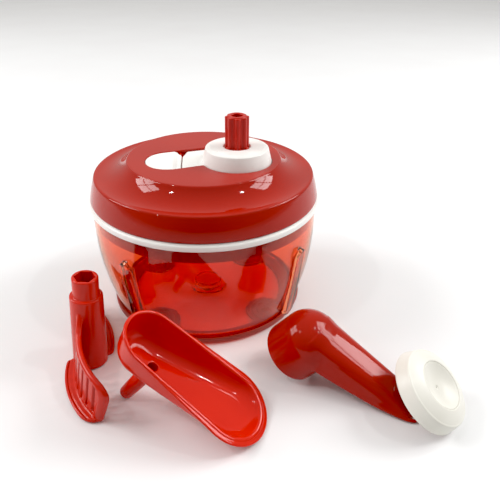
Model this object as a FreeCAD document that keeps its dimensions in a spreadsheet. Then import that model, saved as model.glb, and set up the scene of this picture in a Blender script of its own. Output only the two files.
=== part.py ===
import FreeCAD, Part
import math
import os

import Sketcher
from FreeCAD import Placement, Rotation, Vector

# Hand-cranked food whip: clear bowl, geared lid, whisk, funnel and a lift-off crank.
# Millimetres, +Z up.  The origin is the centre of the bowl's resting face.

os.makedirs("parts", exist_ok=True)
doc = FreeCAD.newDocument("food_whip")

# ---------------------------------------------------------------- driving sizes
SIZES = {
    # bowl
    "bowl_foot_radius": 72.0,
    "bowl_low_radius": 75.6,
    "bowl_low_level": 8.0,
    "bowl_top_radius": 86.4,
    "bowl_top_level": 70.0,
    "bowl_rim_level": 88.2,
    "bowl_wall": 2.4,
    "bowl_underside": 1.6,
    "bowl_floor": 2.0,
    "boss_radius": 9.2,
    "boss_level": 9.2,
    "boss_collar_radius": 13.2,
    "boss_collar_level": 4.5,
    "rib_width": 13.0,
    "rib_low_level": 13.0,
    "rib_high_level": 62.0,
    "rib_reach": 85.8,
    "rib_lean": 8.4,
    "rib_turn": 50.0,
    # non-slip ring under the bowl
    "foot_ring_radius": 75.4,
    "foot_ring_inner": 62.0,
    "foot_ring_lip": 6.2,
    "foot_lobe_radius": 16.0,
    "foot_lobe_reach": 60.0,
    # white ring between bowl and lid
    "ring_radius": 88.3,
    "ring_low": 86.4,
    "ring_high": 92.1,
    "ring_shelf_low": 88.4,
    # red cover
    "cover_foot_radius": 87.4,
    "cover_foot_level": 92.4,
    "cover_shoulder_radius": 83.0,
    "cover_shoulder_level": 110.2,
    "plateau_radius": 57.6,
    "plateau_level": 120.1,
    "cover_wall": 2.4,
    "cove_bend": 22.4,
    # keyhole pan in the plateau, with the arm and the flap in it
    "pan_depth": 4.0,
    "pan_floor": 2.2,
    "keyhole_tip_x": -26.0,
    "keyhole_tip_y": -8.3,
    "keyhole_tip_radius": 17.8,
    "keyhole_root_x": 2.0,
    "keyhole_root_radius": 17.2,
    "inlay_drop": 1.5,
    "inlay_gap": 0.35,
    "hub_x": 24.3,
    "hub_y": -9.8,
    "hub_low_radius": 25.9,
    "hub_high_radius": 23.3,
    "hub_level": 130.9,
    "hub_step": 2.2,
    "hub_eye": 9.9,
    "seam_x": -17.0,
    "flap_pin_inset": 1.25,
    "flap_pin_radius": 0.75,
    "flap_trim_y": -23.75,
    "filler_x": -30.5,
    "filler_y": -10.0,
    "filler_radius": 10.0,
    # gear train
    "gear_module": 1.0917,
    "wheel_teeth": 36,
    "pinion_teeth": 12,
    "gear_low": 88.6,
    "gear_width": 9.0,
    "pressure_angle": 25.0,
    "tooth_play": 0.16,
    "shaft_lobe": 8.8,
    "shaft_root": 8.2,
    "shaft_top": 153.8,
    "shaft_hole": 4.1,
    "journal_radius": 9.0,
    "running_gap": 0.06,
    "bush_wall": 1.8,
    # plate that closes the gear case
    "plate_level": 79.6,
    "plate_thick": 2.2,
    "skirt_radius": 83.6,
    "skirt_wall": 2.2,
    "skirt_low": 76.6,
    "skirt_high": 88.2,
    "post_reach": 52.0,
    "post_turn": 30.0,
    "post_radius": 4.2,
    "screw_radius": 1.5,
    "axle_radius": 2.0,
    "coupler_radius": 6.0,
    "coupler_core": 5.8,
    "coupler_lobe": 1.5,
    "coupler_lobe_reach": 5.2,
    "coupler_low": 68.0,
    # crank
    "crank_hub_radius": 21.17,
    "crank_hub_level": 21.0,
    "crank_crown": 38.6,
    "crank_reach": 69.7,
    "crank_end_radius": 12.6,
    "crank_end_level": 49.0,
    "crank_wall": 2.4,
    "crank_crown_bend": 18.5,
    "knob_stem": 8.0,
    "knob_axle_radius": 3.0,
    "knob_seat": 5.4,
    "knob_level": 60.8,
    "knob_radius": 27.25,
    "knob_front_radius": 25.4,
    "knob_front_level": 8.4,
    "knob_dish_radius": 15.45,
    "knob_thick": 12.9,
    "knob_wall": 2.2,
    "crank_x": 56.47,
    "crank_y": -103.45,
    "crank_z": 13.25,
    "crank_turn": -31.6,
    "crank_tip": 38.75,
    # whisk
    "whisk_low_radius": 12.0,
    "whisk_high_radius": 11.0,
    "whisk_step_level": 56.0,
    "whisk_neck_radius": 8.66,
    "whisk_level": 70.1,
    "whisk_bore": 9.6,
    "wing_thick": 2.4,
    "wing_lean": 0.11,
    "wing_bend": 72.4,
    "wing_bend_x": 64.46,
    "wing_bend_y": -6.14,
    "slot_width": 1.9,
    "whisk_x": -85.43,
    "whisk_y": -87.39,
    "whisk_z": 1.4,
    "whisk_tip": 4.3,
    # funnel
    "funnel_deep_radius": 20.8,
    "funnel_deep_x": -11.0,
    "funnel_lip_radius": 27.0,
    "funnel_lip_x": 50.5,
    "funnel_rim": 1.8,
    "funnel_trough_radius": 18.6,
    "funnel_mouth_radius": 21.2,
    "funnel_draft": 12.0,
    "funnel_wall": 1.8,
    "funnel_deep": 22.0,
    "funnel_shallow": 2.6,
    "spout_radius": 5.6,
    "spout_tip_radius": 4.6,
    "spout_reach": 58.6,
    "spout_bore": 3.2,
    "funnel_x": -24.3,
    "funnel_y": -138.2,
    "funnel_z": 48.9,
    "funnel_turn": -22.06,
    "funnel_tip": 37.39,
}


class Size:
    """A number together with the spreadsheet expression that gives it."""

    def __init__(self, value, text):
        self.value = float(value)
        self.text = text

    @staticmethod
    def of(other):
        if isinstance(other, Size):
            return other
        return Size(other, repr(float(other)))

    def __add__(self, other):
        other = Size.of(other)
        return Size(self.value + other.value, "(%s + %s)" % (self.text, other.text))

    def __sub__(self, other):
        other = Size.of(other)
        return Size(self.value - other.value, "(%s - %s)" % (self.text, other.text))

    def __mul__(self, other):
        other = Size.of(other)
        return Size(self.value * other.value, "(%s * %s)" % (self.text, other.text))

    def __truediv__(self, other):
        other = Size.of(other)
        return Size(self.value / other.value, "(%s / %s)" % (self.text, other.text))

    def __neg__(self):
        return Size(-self.value, "(0 - %s)" % self.text)

    __radd__ = __add__
    __rmul__ = __mul__

    def __rsub__(self, other):
        return Size.of(other) - self


sheet = doc.addObject("Spreadsheet::Sheet", "Sizes")
for row, (alias, number) in enumerate(SIZES.items(), start=1):
    sheet.set("A%d" % row, alias)
    sheet.set("B%d" % row, str(number))
    sheet.setAlias("B%d" % row, alias)
doc.recompute()


class Table:
    """Every driving size as a Size, by its alias."""

    def __getattr__(self, alias):
        return Size(SIZES[alias], "Sizes.%s" % alias)


z = Table()


# ---------------------------------------------------------------- modelling helpers
def new_body(name, x=0.0, y=0.0, height=0.0):
    body = doc.addObject("PartDesign::Body", name)
    body.Label = name
    for axis, amount in (("x", x), ("y", y), ("z", height)):
        bind(body, "Placement.Base." + axis, amount)
    return body


def lay_body(body, x, y, height, turn, tip):
    """Lays a body down: tipped about its own Y axis, then turned about the vertical."""
    for axis in ("x", "y", "z"):
        body.setExpression("Placement.Base." + axis, None)
    spin = Rotation(turn.value, tip.value, 0)
    body.Placement = Placement(Vector(x.value, y.value, height.value), spin)
    body.setExpression("Placement", (
        "create(<<placement>>; create(<<vector>>; %s; %s; %s); create(<<rotation>>; %s; %s; 0))"
        % (x.text, y.text, height.text, turn.text, tip.text)))


def turn_body(body, angle):
    """Turns a body about its own Z axis."""
    body.Placement.Rotation = Rotation(Vector(0, 0, 1), angle.value)
    bind(body, "Placement.Rotation.Angle", angle)


def bind(owner, place, amount):
    amount = Size.of(amount)
    owner.setExpression(place, amount.text)


def plane_of(body, role):
    return next(item for item in body.Origin.OriginFeatures if item.Role == role)


def new_sketch(body, name, role="XY_Plane", lift=0.0, shift=None, turn=None):
    """A sketch on one of the body's own origin planes, lifted along the plane's normal."""
    sketch = body.newObject("Sketcher::SketchObject", name)
    sketch.AttachmentSupport = [(plane_of(body, role), "")]
    sketch.MapMode = "FlatFace"
    if turn is not None:
        sketch.AttachmentOffset = Placement(Vector(0, 0, 0), turn)
    if shift is not None:
        bind(sketch, "AttachmentOffset.Base.x", shift[0])
        bind(sketch, "AttachmentOffset.Base.y", shift[1])
    bind(sketch, "AttachmentOffset.Base.z", lift)
    return sketch


def pin_value(sketch, kind, geometry, spot, amount):
    """One driving constraint bound to its expression."""
    amount = Size.of(amount)
    if kind == "Radius":
        index = sketch.addConstraint(Sketcher.Constraint(kind, geometry, amount.value))
    else:
        index = sketch.addConstraint(Sketcher.Constraint(kind, geometry, spot, amount.value))
    if not amount.text.replace(".", "").replace("-", "").isdigit():
        sketch.setExpression("Constraints[%d]" % index, amount.text)


def pin_point(sketch, geometry, spot, x, y):
    for kind, amount, axis in (("DistanceX", x, -2), ("DistanceY", y, -1)):
        if not isinstance(amount, Size) and amount == 0:
            sketch.addConstraint(Sketcher.Constraint("PointOnObject", geometry, spot, axis))
        else:
            pin_value(sketch, kind, geometry, spot, amount)


def outline(sketch, corners, bulges=None):
    """A closed outline.  bulges maps the number of a side to its arc's radius:
    a positive radius bends to the left of the way round, a negative one to the right."""
    bulges = bulges or {}
    corners = [(x if isinstance(x, Size) else Size.of(x) if x else 0,
                y if isinstance(y, Size) else Size.of(y) if y else 0) for x, y in corners]
    spots = [Vector(Size.of(x).value, Size.of(y).value, 0) for x, y in corners]
    ends = []
    for side, start in enumerate(spots):
        finish = spots[(side + 1) % len(spots)]
        if side in bulges:
            radius = Size.of(bulges[side])
            chord = finish - start
            half = chord.Length / 2
            normal = Vector(-chord.y, chord.x, 0)
            normal.normalize()
            rise = math.sqrt(max(radius.value ** 2 - half ** 2, 0))
            way = 1 if radius.value > 0 else -1
            centre = (start + finish) / 2 - normal * rise * way
            first = math.atan2(start.y - centre.y, start.x - centre.x)
            last = math.atan2(finish.y - centre.y, finish.x - centre.x)
            circle = Part.Circle(centre, Vector(0, 0, 1), abs(radius.value))
            if way > 0:
                geometry = sketch.addGeometry(Part.ArcOfCircle(circle, last, first))
                ends.append((geometry, 2, 1))
            else:
                geometry = sketch.addGeometry(Part.ArcOfCircle(circle, first, last))
                ends.append((geometry, 1, 2))
        else:
            geometry = sketch.addGeometry(Part.LineSegment(start, finish))
            ends.append((geometry, 1, 2))
    for side, (geometry, first, last) in enumerate(ends):
        before = ends[side - 1]
        sketch.addConstraint(
            Sketcher.Constraint("Coincident", before[0], before[2], geometry, first))
        pin_point(sketch, geometry, first, *corners[side])
    for side, radius in bulges.items():
        radius = Size.of(radius)
        pin_value(sketch, "Radius", ends[side][0], None, radius if radius.value > 0 else -radius)
    return sketch


def ring(sketch, x, y, radius):
    x, y, radius = Size.of(x) if x else 0, Size.of(y) if y else 0, Size.of(radius)
    centre = Vector(Size.of(x).value, Size.of(y).value, 0)
    geometry = sketch.addGeometry(Part.Circle(centre, Vector(0, 0, 1), radius.value))
    pin_point(sketch, geometry, 3, x, y)
    pin_value(sketch, "Radius", geometry, None, radius)
    return sketch


def capsule(sketch, x1, y1, r1, x2, y2, r2):
    """Two arcs joined by their outer tangent lines."""
    x1, y1, r1, x2, y2, r2 = [Size.of(v) if isinstance(v, Size) or v else 0
                              for v in (x1, y1, r1, x2, y2, r2)]
    a = Vector(Size.of(x1).value, Size.of(y1).value, 0)
    b = Vector(Size.of(x2).value, Size.of(y2).value, 0)
    along = b - a
    base = math.atan2(along.y, along.x)
    spread = math.acos((r1.value - r2.value) / along.Length)
    up = base + spread
    down = base - spread
    first = sketch.addGeometry(
        Part.ArcOfCircle(Part.Circle(a, Vector(0, 0, 1), r1.value), up, down + 2 * math.pi))
    second = sketch.addGeometry(
        Part.ArcOfCircle(Part.Circle(b, Vector(0, 0, 1), r2.value), down, up))

    def on(centre, radius, angle):
        return centre + Vector(radius * math.cos(angle), radius * math.sin(angle), 0)

    low = sketch.addGeometry(Part.LineSegment(on(a, r1.value, down), on(b, r2.value, down)))
    top = sketch.addGeometry(Part.LineSegment(on(b, r2.value, up), on(a, r1.value, up)))
    pin_point(sketch, first, 3, x1, y1)
    pin_point(sketch, second, 3, x2, y2)
    pin_value(sketch, "Radius", first, None, r1)
    pin_value(sketch, "Radius", second, None, r2)
    for one, one_end, other, other_end in (
            (first, 2, low, 1), (low, 2, second, 1), (second, 2, top, 1), (top, 2, first, 1)):
        sketch.addConstraint(Sketcher.Constraint("Tangent", one, one_end, other, other_end))
    return sketch


def pad(body, sketch, length, name, down=False, middle=False):
    feature = body.newObject("PartDesign::Pad", name)
    feature.Profile = sketch
    bind(feature, "Length", length)
    feature.Reversed = down
    feature.Midplane = middle
    sketch.Visibility = False
    return feature


def cut_volume(body, feature, before):
    """Stops the build if a cut took nothing away."""
    doc.recompute()
    taken = before - body.Shape.Volume
    if taken < 0.05:
        raise RuntimeError("%s of %s cuts nothing" % (feature.Name, body.Label))


def pocket(body, sketch, length, name, up=False, middle=False):
    doc.recompute()
    before = body.Shape.Volume
    feature = body.newObject("PartDesign::Pocket", name)
    feature.Profile = sketch
    bind(feature, "Length", length)
    feature.Reversed = up
    feature.Midplane = middle
    cut_volume(body, feature, before)
    return feature


def revolve(body, sketch, name, axis="V_Axis"):
    feature = body.newObject("PartDesign::Revolution", name)
    feature.Profile = sketch
    feature.ReferenceAxis = (sketch, [axis])
    feature.Angle = 360
    return feature


def groove(body, sketch, name, axis="V_Axis"):
    doc.recompute()
    before = body.Shape.Volume
    feature = body.newObject("PartDesign::Groove", name)
    feature.Profile = sketch
    feature.ReferenceAxis = (sketch, [axis])
    feature.Angle = 360
    cut_volume(body, feature, before)
    return feature


def around(body, features, count, name):
    """Repeats features round the body's own Z axis."""
    doc.recompute()
    pattern = body.newObject("PartDesign::PolarPattern", name)
    pattern.Originals = features
    pattern.Axis = (plane_of(body, "Z_Axis"), [""])
    pattern.Angle = 360
    pattern.Occurrences = int(count)
    body.Tip = pattern
    doc.recompute()
    return pattern


def edges_where(shape, test):
    """Names of the edges whose middle point passes the test."""
    names = []
    for number, edge in enumerate(shape.Edges, start=1):
        middle = edge.valueAt((edge.FirstParameter + edge.LastParameter) / 2)
        if test(edge, middle):
            names.append("Edge%d" % number)
    return names


def round_edges(body, name, radius, test):
    doc.recompute()
    tip = body.Tip
    names = edges_where(tip.Shape, test)
    if not names:
        raise RuntimeError("%s of %s finds no edge" % (name, body.Label))
    feature = body.newObject("PartDesign::Fillet", name)
    feature.Base = (tip, names)
    bind(feature, "Radius", radius)
    doc.recompute()
    return feature


# ---------------------------------------------------------------- bowl
def make_bowl():
    """Clear bowl: turned wall, four proud grip ribs, and a pivot boss on the floor."""
    body = new_body("bowl")
    low = z.bowl_underside
    profile = new_sketch(body, "BowlOutside", "XZ_Plane")
    outline(profile, [
        (0, low),
        (z.bowl_foot_radius, low),
        (z.bowl_low_radius, z.bowl_low_level),
        (z.bowl_top_radius, z.bowl_top_level),
        (z.bowl_top_radius, z.bowl_rim_level),
        (0, z.bowl_rim_level),
    ], {1: Size.of(-6.5), 2: Size.of(-185)})
    revolve(body, profile, "Outside")

    rib = new_sketch(body, "RibFace", "YZ_Plane", turn=Rotation(Vector(1, 0, 0), z.rib_lean.value),
                     lift=z.rib_reach, shift=(0, (z.rib_low_level + z.rib_high_level) / 2))
    reach = (z.rib_high_level - z.rib_low_level) / 2
    capsule(rib, 0, -reach, z.rib_width / 2, 0, reach, z.rib_width / 2)
    rib_pad = pad(body, rib, 9.0, "Rib", down=True)
    ribs = around(body, [rib_pad], 4, "Ribs")

    cavity = new_sketch(body, "BowlInside", "XZ_Plane")
    wall = z.bowl_wall
    floor = z.bowl_underside + z.bowl_floor
    outline(cavity, [
        (0, z.boss_level),
        (z.boss_radius, z.boss_level),
        (z.boss_radius, z.boss_collar_level),
        (z.boss_collar_radius, z.boss_collar_level),
        (z.boss_collar_radius, floor),
        (z.bowl_foot_radius - wall, floor),
        (z.bowl_low_radius - wall, z.bowl_low_level + 1.5),
        (z.bowl_top_radius - wall, z.bowl_top_level),
        (z.bowl_top_radius - wall, z.bowl_rim_level + 1),
        (0, z.bowl_rim_level + 1),
    ], {5: Size.of(-5.0), 6: Size.of(-183)})
    groove(body, cavity, "Inside")

    def rib_edge(edge, middle):
        reach = math.hypot(middle.x, middle.y)
        return edge.Length > 8 and reach > outside_radius(middle.z) + 1.2

    round_edges(body, "RibEdges", 1.4, rib_edge)
    turn_body(body, z.rib_turn)
    return body


def outside_radius(level):
    """Radius of the bowl's turned outside at a level, near enough to tell its edges apart."""
    share = (level - z.bowl_low_level.value) / (z.bowl_top_level.value - z.bowl_low_level.value)
    share = min(max(share, 0), 1)
    grown = z.bowl_top_radius.value - z.bowl_low_radius.value
    return z.bowl_low_radius.value + grown * (1 - (1 - share) ** 2)


def make_foot_ring():
    """Soft non-slip ring: a channel round the bowl's foot with four ribbed lobes."""
    body = new_body("non_slip_ring")
    profile = new_sketch(body, "RingSection", "XZ_Plane")
    under = z.bowl_underside - 0.1
    outline(profile, [
        (z.foot_ring_inner, 0),
        (z.foot_ring_radius, 0),
        (z.bowl_low_radius + 1.9, 3.0),
        (z.bowl_low_radius + 1.9, z.foot_ring_lip),
        (z.bowl_low_radius + 0.3, z.foot_ring_lip),
        (z.bowl_foot_radius + 2.6, under + 0.8),
        (z.bowl_foot_radius, under),
        (z.foot_ring_inner, under),
    ])
    revolve(body, profile, "Ring")
    lobe = new_sketch(body, "LobeDisc")
    ring(lobe, z.foot_lobe_reach, 0, z.foot_lobe_radius)
    lobe_pad = pad(body, lobe, under, "Lobe")
    around(body, [lobe_pad], 4, "Lobes")
    tread = new_sketch(body, "TreadCut", lift=under - 0.7)
    for step in (3.2, 7.2, 11.2):
        ring(tread, z.foot_lobe_reach, 0, step)
        ring(tread, z.foot_lobe_reach, 0, step + 1.6)
    tread_cut = pocket(body, tread, 2.0, "Tread", up=True)
    around(body, [tread_cut], 4, "Treads")
    turn_body(body, z.rib_turn)
    return body


# ---------------------------------------------------------------- lid
def make_lid_ring():
    """White ring that hangs over the bowl's rim, under the cover."""
    body = new_body("lid_ring")
    profile = new_sketch(body, "RingSection", "XZ_Plane")
    outline(profile, [
        (z.bowl_top_radius + 0.5, z.ring_low),
        (z.ring_radius - 1.2, z.ring_low),
        (z.ring_radius, z.ring_low + 1.6),
        (z.ring_radius, z.ring_high - 2.0),
        (z.ring_radius - 1.6, z.ring_high - 0.5),
        (z.cover_foot_radius - 0.6, z.ring_high),
        (z.skirt_radius - 2.2, z.ring_high),
        (z.skirt_radius - 2.2, z.ring_shelf_low),
        (z.bowl_top_radius + 0.5, z.ring_shelf_low),
    ], {1: Size.of(-1.8), 3: Size.of(-2.4)})
    revolve(body, profile, "Ring")
    return body


def keyhole(sketch, grow):
    """Outline of the arm from its hub end to the round tip of the flap."""
    capsule(sketch, z.keyhole_tip_x, z.keyhole_tip_y, z.keyhole_tip_radius + grow,
            z.keyhole_root_x, 0, z.keyhole_root_radius + grow)
    return sketch


def make_cover():
    """Red cover: band, hollow cove and flat plateau, with a pan for the arm and the flap."""
    body = new_body("lid_cover")
    wall = z.cover_wall
    profile = new_sketch(body, "CoverSection", "XZ_Plane")
    foot = z.cover_foot_radius
    shoulder = z.cover_shoulder_radius
    outline(profile, [
        (0, z.plateau_level),
        (z.plateau_radius, z.plateau_level),
        (shoulder - 1.2, z.cover_shoulder_level),
        (shoulder, z.cover_shoulder_level - 0.9),
        (foot, z.cover_foot_level),
        (foot - wall, z.cover_foot_level),
        (shoulder - wall, z.cover_shoulder_level - wall),
        (z.plateau_radius - 1.5, z.plateau_level - wall - 0.6),
        (0, z.plateau_level - wall - 0.6),
    ], {1: -z.cove_bend, 2: Size.of(-0.95), 3: Size.of(-120), 5: Size.of(120),
        6: z.cove_bend + wall})
    revolve(body, profile, "Shell")

    pan_low = z.plateau_level - z.pan_depth - z.pan_floor
    pan_block = keyhole(new_sketch(body, "PanBlock", lift=pan_low), Size.of(2.4))
    pad(body, pan_block, z.pan_depth + z.pan_floor - 1.0, "PanUnder")
    hub_block = ring(new_sketch(body, "HubBlock", lift=pan_low), z.hub_x, z.hub_y,
                     z.hub_low_radius + 2.6)
    pad(body, hub_block, z.pan_depth + z.pan_floor - 1.0, "HubUnder")
    pan_cut = keyhole(new_sketch(body, "PanCut", lift=z.plateau_level - z.pan_depth), 0.0)
    pocket(body, pan_cut, z.pan_depth + 1, "Pan", up=True)
    hub_cut = ring(new_sketch(body, "HubCut", lift=z.plateau_level - z.pan_depth),
                   z.hub_x, z.hub_y, z.hub_low_radius + z.inlay_gap)
    pocket(body, hub_cut, z.pan_depth + 1, "HubSeat", up=True)

    holes = new_sketch(body, "Holes", lift=pan_low - 1)
    ring(holes, z.hub_x, z.hub_y, z.journal_radius + z.running_gap + z.bush_wall + 1.8)
    ring(holes, z.filler_x, z.filler_y, z.filler_radius + 1.9)
    pocket(body, holes, z.pan_floor + 4, "Ways", up=True)

    post_low = z.plate_level + z.plate_thick
    turned = Rotation(Vector(0, 0, 1), z.post_turn.value)
    post = ring(new_sketch(body, "PostDisc", lift=post_low, turn=turned), z.post_reach, 0,
                z.post_radius)
    post_pad = pad(body, post, z.plateau_level - wall - 0.4 - post_low, "Post")
    around(body, [post_pad], 4, "Posts")
    pilot = ring(new_sketch(body, "PilotHole", lift=post_low - 1, turn=turned), z.post_reach, 0,
                 z.screw_radius - 0.02)
    pilot_cut = pocket(body, pilot, 13.0, "Pilot", up=True)
    around(body, [pilot_cut], 4, "Pilots")

    axle_boss = ring(new_sketch(body, "AxleBoss", lift=z.gear_low + z.gear_width + 1.4), 0, 0, 5.5)
    pad(body, axle_boss, pan_low - z.gear_low - z.gear_width - 0.4, "AxleStem")
    axle_hole = ring(new_sketch(body, "AxleHole", lift=z.gear_low + z.gear_width + 1.0), 0, 0,
                     z.axle_radius + 0.02)
    pocket(body, axle_hole, 12.0, "AxleBore", up=True)
    return body


def make_inner_cover():
    """Red plate under the gears, with a skirt that plugs the bowl and a filler chute."""
    body = new_body("inner_cover")
    top = z.plate_level + z.plate_thick
    outer = z.skirt_radius
    profile = new_sketch(body, "PlateSection", "XZ_Plane")
    bore = z.coupler_radius + z.running_gap
    outline(profile, [
        (bore, z.plate_level),
        (outer - z.skirt_wall, z.plate_level),
        (outer - z.skirt_wall, z.skirt_low),
        (outer, z.skirt_low),
        (outer, z.skirt_high),
        (outer - z.skirt_wall, z.skirt_high),
        (outer - z.skirt_wall, top),
        (bore + 3.5, top),
        (bore + 3.5, top + 3.0),
        (bore, top + 3.0),
    ])
    revolve(body, profile, "Plate")

    chute_top = z.plateau_level - z.pan_depth - z.pan_floor + 1.0
    chute = ring(new_sketch(body, "ChuteDisc", lift=top - 0.5), z.filler_x, z.filler_y,
                 z.filler_radius + 1.7)
    pad(body, chute, chute_top - top + 0.5, "Chute")
    seat = ring(new_sketch(body, "ShaftSeat", lift=top - 0.5), z.hub_x, z.hub_y, 9.5)
    pad(body, seat, 3.5, "Seat")

    ways = new_sketch(body, "Ways", lift=z.skirt_low - 1)
    ring(ways, z.filler_x, z.filler_y, z.filler_radius)
    pocket(body, ways, 60.0, "FillerWay", up=True)
    shaft_bore = ring(new_sketch(body, "ShaftBore", lift=z.plate_level - 1), z.hub_x, z.hub_y,
                      4.0 + z.running_gap)
    pocket(body, shaft_bore, 12.0, "ShaftWay", up=True)

    turned = Rotation(Vector(0, 0, 1), z.post_turn.value)
    hole = ring(new_sketch(body, "ScrewHole", lift=z.plate_level - 1, turn=turned), z.post_reach, 0,
                z.screw_radius + 0.3)
    hole_cut = pocket(body, hole, 8.0, "ScrewWay", up=True)
    around(body, [hole_cut], 4, "ScrewWays")
    return body


def make_hub_cover():
    """White arm and hub that lie in the cover's pan and carry the drive shaft's bush."""
    body = new_body("hub_cover")
    low = z.plateau_level - z.pan_depth
    thick = z.pan_depth - z.inlay_drop
    arm = keyhole(new_sketch(body, "ArmOutline", lift=low), -z.inlay_gap)
    pad(body, arm, thick, "Arm")
    hub = new_sketch(body, "HubSection", "XZ_Plane", shift=(z.hub_x, 0), lift=-z.hub_y)
    rim = z.hub_high_radius
    eye = z.hub_eye
    bush = z.journal_radius + z.running_gap + z.bush_wall
    outline(hub, [
        (0, low),
        (z.hub_low_radius, low),
        (z.hub_low_radius, z.plateau_level),
        (rim, z.hub_level - 1.0),
        (rim - 1.0, z.hub_level - 0.35),
        (rim - z.hub_step, z.hub_level - 0.35),
        (rim - z.hub_step - 0.5, z.hub_level),
        (0, z.hub_level),
    ], {3: Size.of(-1.1)})
    revolve(body, hub, "Hub")
    flap_side = new_sketch(body, "FlapSide", lift=low - 1)
    outline(flap_side, [
        (-60, -45),
        (z.seam_x + 0.3, -45),
        (z.seam_x + 0.3, 3.8),
        (z.seam_x + 2.6, 11.0),
        (z.seam_x + 3.6, 30),
        (-60, 30),
    ])
    pocket(body, flap_side, thick + 4, "Seam", up=True)
    hollow = new_sketch(body, "HubHollow", "XZ_Plane", shift=(z.hub_x, 0), lift=-z.hub_y)
    outline(hollow, [
        (0, low - 1),
        (rim - z.cover_wall, low - 1),
        (rim - z.cover_wall - 0.6, z.hub_level - z.cover_wall - 0.4),
        (bush + 2.0, z.hub_level - z.cover_wall - 0.4),
        (bush + 2.0, low),
        (bush, low),
        (bush, z.hub_level - 1.4),
        (eye, z.hub_level - 1.4),
        (eye, z.hub_level + 1),
        (0, z.hub_level + 1),
    ])
    groove(body, hollow, "Hollow")
    return body


def make_flap():
    """White flap over the filler, hinged on its pin at the seam."""
    body = new_body("filler_flap")
    low = z.plateau_level - z.pan_depth + 0.25
    top = z.plateau_level - z.inlay_drop
    leaf = keyhole(new_sketch(body, "LeafOutline", lift=low), -z.inlay_gap)
    pad(body, leaf, top - low, "Leaf")
    arm_side = new_sketch(body, "ArmSide", lift=low - 1)
    outline(arm_side, [
        (z.seam_x - 0.1, -45),
        (40, -45),
        (40, 30),
        (z.seam_x - 4.4, 30),
        (z.seam_x - 3.4, 11.0),
        (z.seam_x - 0.1, 3.8),
    ])
    pocket(body, arm_side, 8.0, "Seam", up=True)
    swing_trim = new_sketch(body, "SwingTrim", lift=low - 1)
    outline(swing_trim, [
        (z.seam_x - 7.4, -45),
        (z.seam_x + 1.0, -45),
        (z.seam_x + 1.0, z.flap_trim_y),
        (z.seam_x - 4.4, z.flap_trim_y),
        (z.seam_x - 7.4, z.flap_trim_y - 2.4),
    ])
    pocket(body, swing_trim, 8.0, "FrontTrim", up=True)
    edge_x = z.seam_x.value - 0.1
    round_edges(body, "HingeEdge", 1.05, lambda edge, middle: (
        abs(middle.x - edge_x) < 0.02 and edge.Length > 10))
    centre = (low + top) / 2
    bore = new_sketch(body, "PinBore", "XZ_Plane", lift=-15)
    ring(bore, z.seam_x - z.flap_pin_inset, centre, z.flap_pin_radius + z.running_gap)
    pocket(body, bore, 45.0, "PinWay", up=True)
    return body


def make_flap_pin():
    """Red hinge pin of the flap, held by its ends in the walls of the pan."""
    body = new_body("flap_pin")
    low = z.plateau_level - z.pan_depth + 0.25
    centre = (low + z.plateau_level - z.inlay_drop) / 2
    disc = ring(new_sketch(body, "PinDisc", "XZ_Plane", lift=-12.5), z.seam_x - z.flap_pin_inset,
                centre, z.flap_pin_radius)
    pad(body, disc, 39.0, "Pin")
    return body


def make_shaft_bush():
    """Plain bearing for the drive shaft, pressed into the hub."""
    body = new_body("shaft_bush", z.hub_x, z.hub_y)
    inner = z.journal_radius + z.running_gap
    outer = inner + z.bush_wall
    profile = new_sketch(body, "BushSection", "XZ_Plane")
    low = z.plateau_level - z.pan_depth - 1.4
    outline(profile, [
        (inner, low),
        (outer + 1.6, low),
        (outer + 1.6, low + 1.3),
        (outer, low + 1.3),
        (outer, z.hub_level - 1.5),
        (inner, z.hub_level - 1.5),
    ])
    revolve(body, profile, "Bush")
    return body


def make_cover_screws():
    """Four pan-head screws that hold the inner cover to the posts of the lid."""
    body = new_body("cover_screws")
    under = z.plate_level
    profile = new_sketch(body, "ScrewSection", "XZ_Plane", shift=(z.post_reach, 0))
    outline(profile, [
        (0, under + 13.0),
        (0.4, under + 13.0),
        (z.screw_radius - 0.02, under + 11.6),
        (z.screw_radius - 0.02, under),
        (z.screw_radius + 1.6, under),
        (z.screw_radius + 1.4, under - 1.3),
        (z.screw_radius + 0.3, under - 1.9),
        (0, under - 1.9),
    ])
    revolve(body, profile, "Screw")
    drive = new_sketch(body, "CrossSlot", lift=under - 2.0)
    x = z.post_reach
    arm = 1.5
    thin = 0.32
    outline(drive, [
        (x + arm, -thin), (x + arm, thin), (x + thin, thin), (x + thin, arm),
        (x - thin, arm), (x - thin, thin), (x - arm, thin), (x - arm, -thin),
        (x - thin, -thin), (x - thin, -arm), (x + thin, -arm), (x + thin, -thin),
    ])
    pocket(body, drive, 1.1, "Cross", up=True)
    return repeated_solids(body, 4, z.post_turn.value)


def repeated_solids(body, count, turn):
    """Separate copies of a body's solid round the lid's axis, as one object."""
    doc.recompute()
    solid = body.Shape.copy()
    label = body.Label
    group = doc.addObject("Part::Feature", label + "_group")
    copies = []
    for number in range(count):
        copy = solid.copy()
        copy.rotate(Vector(0, 0, 0), Vector(0, 0, 1), turn + 360.0 * number / count)
        copies.append(copy)
    group.Shape = Part.makeCompound(copies)
    body.Label = label + "_one"
    group.Label = label
    return group


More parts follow.
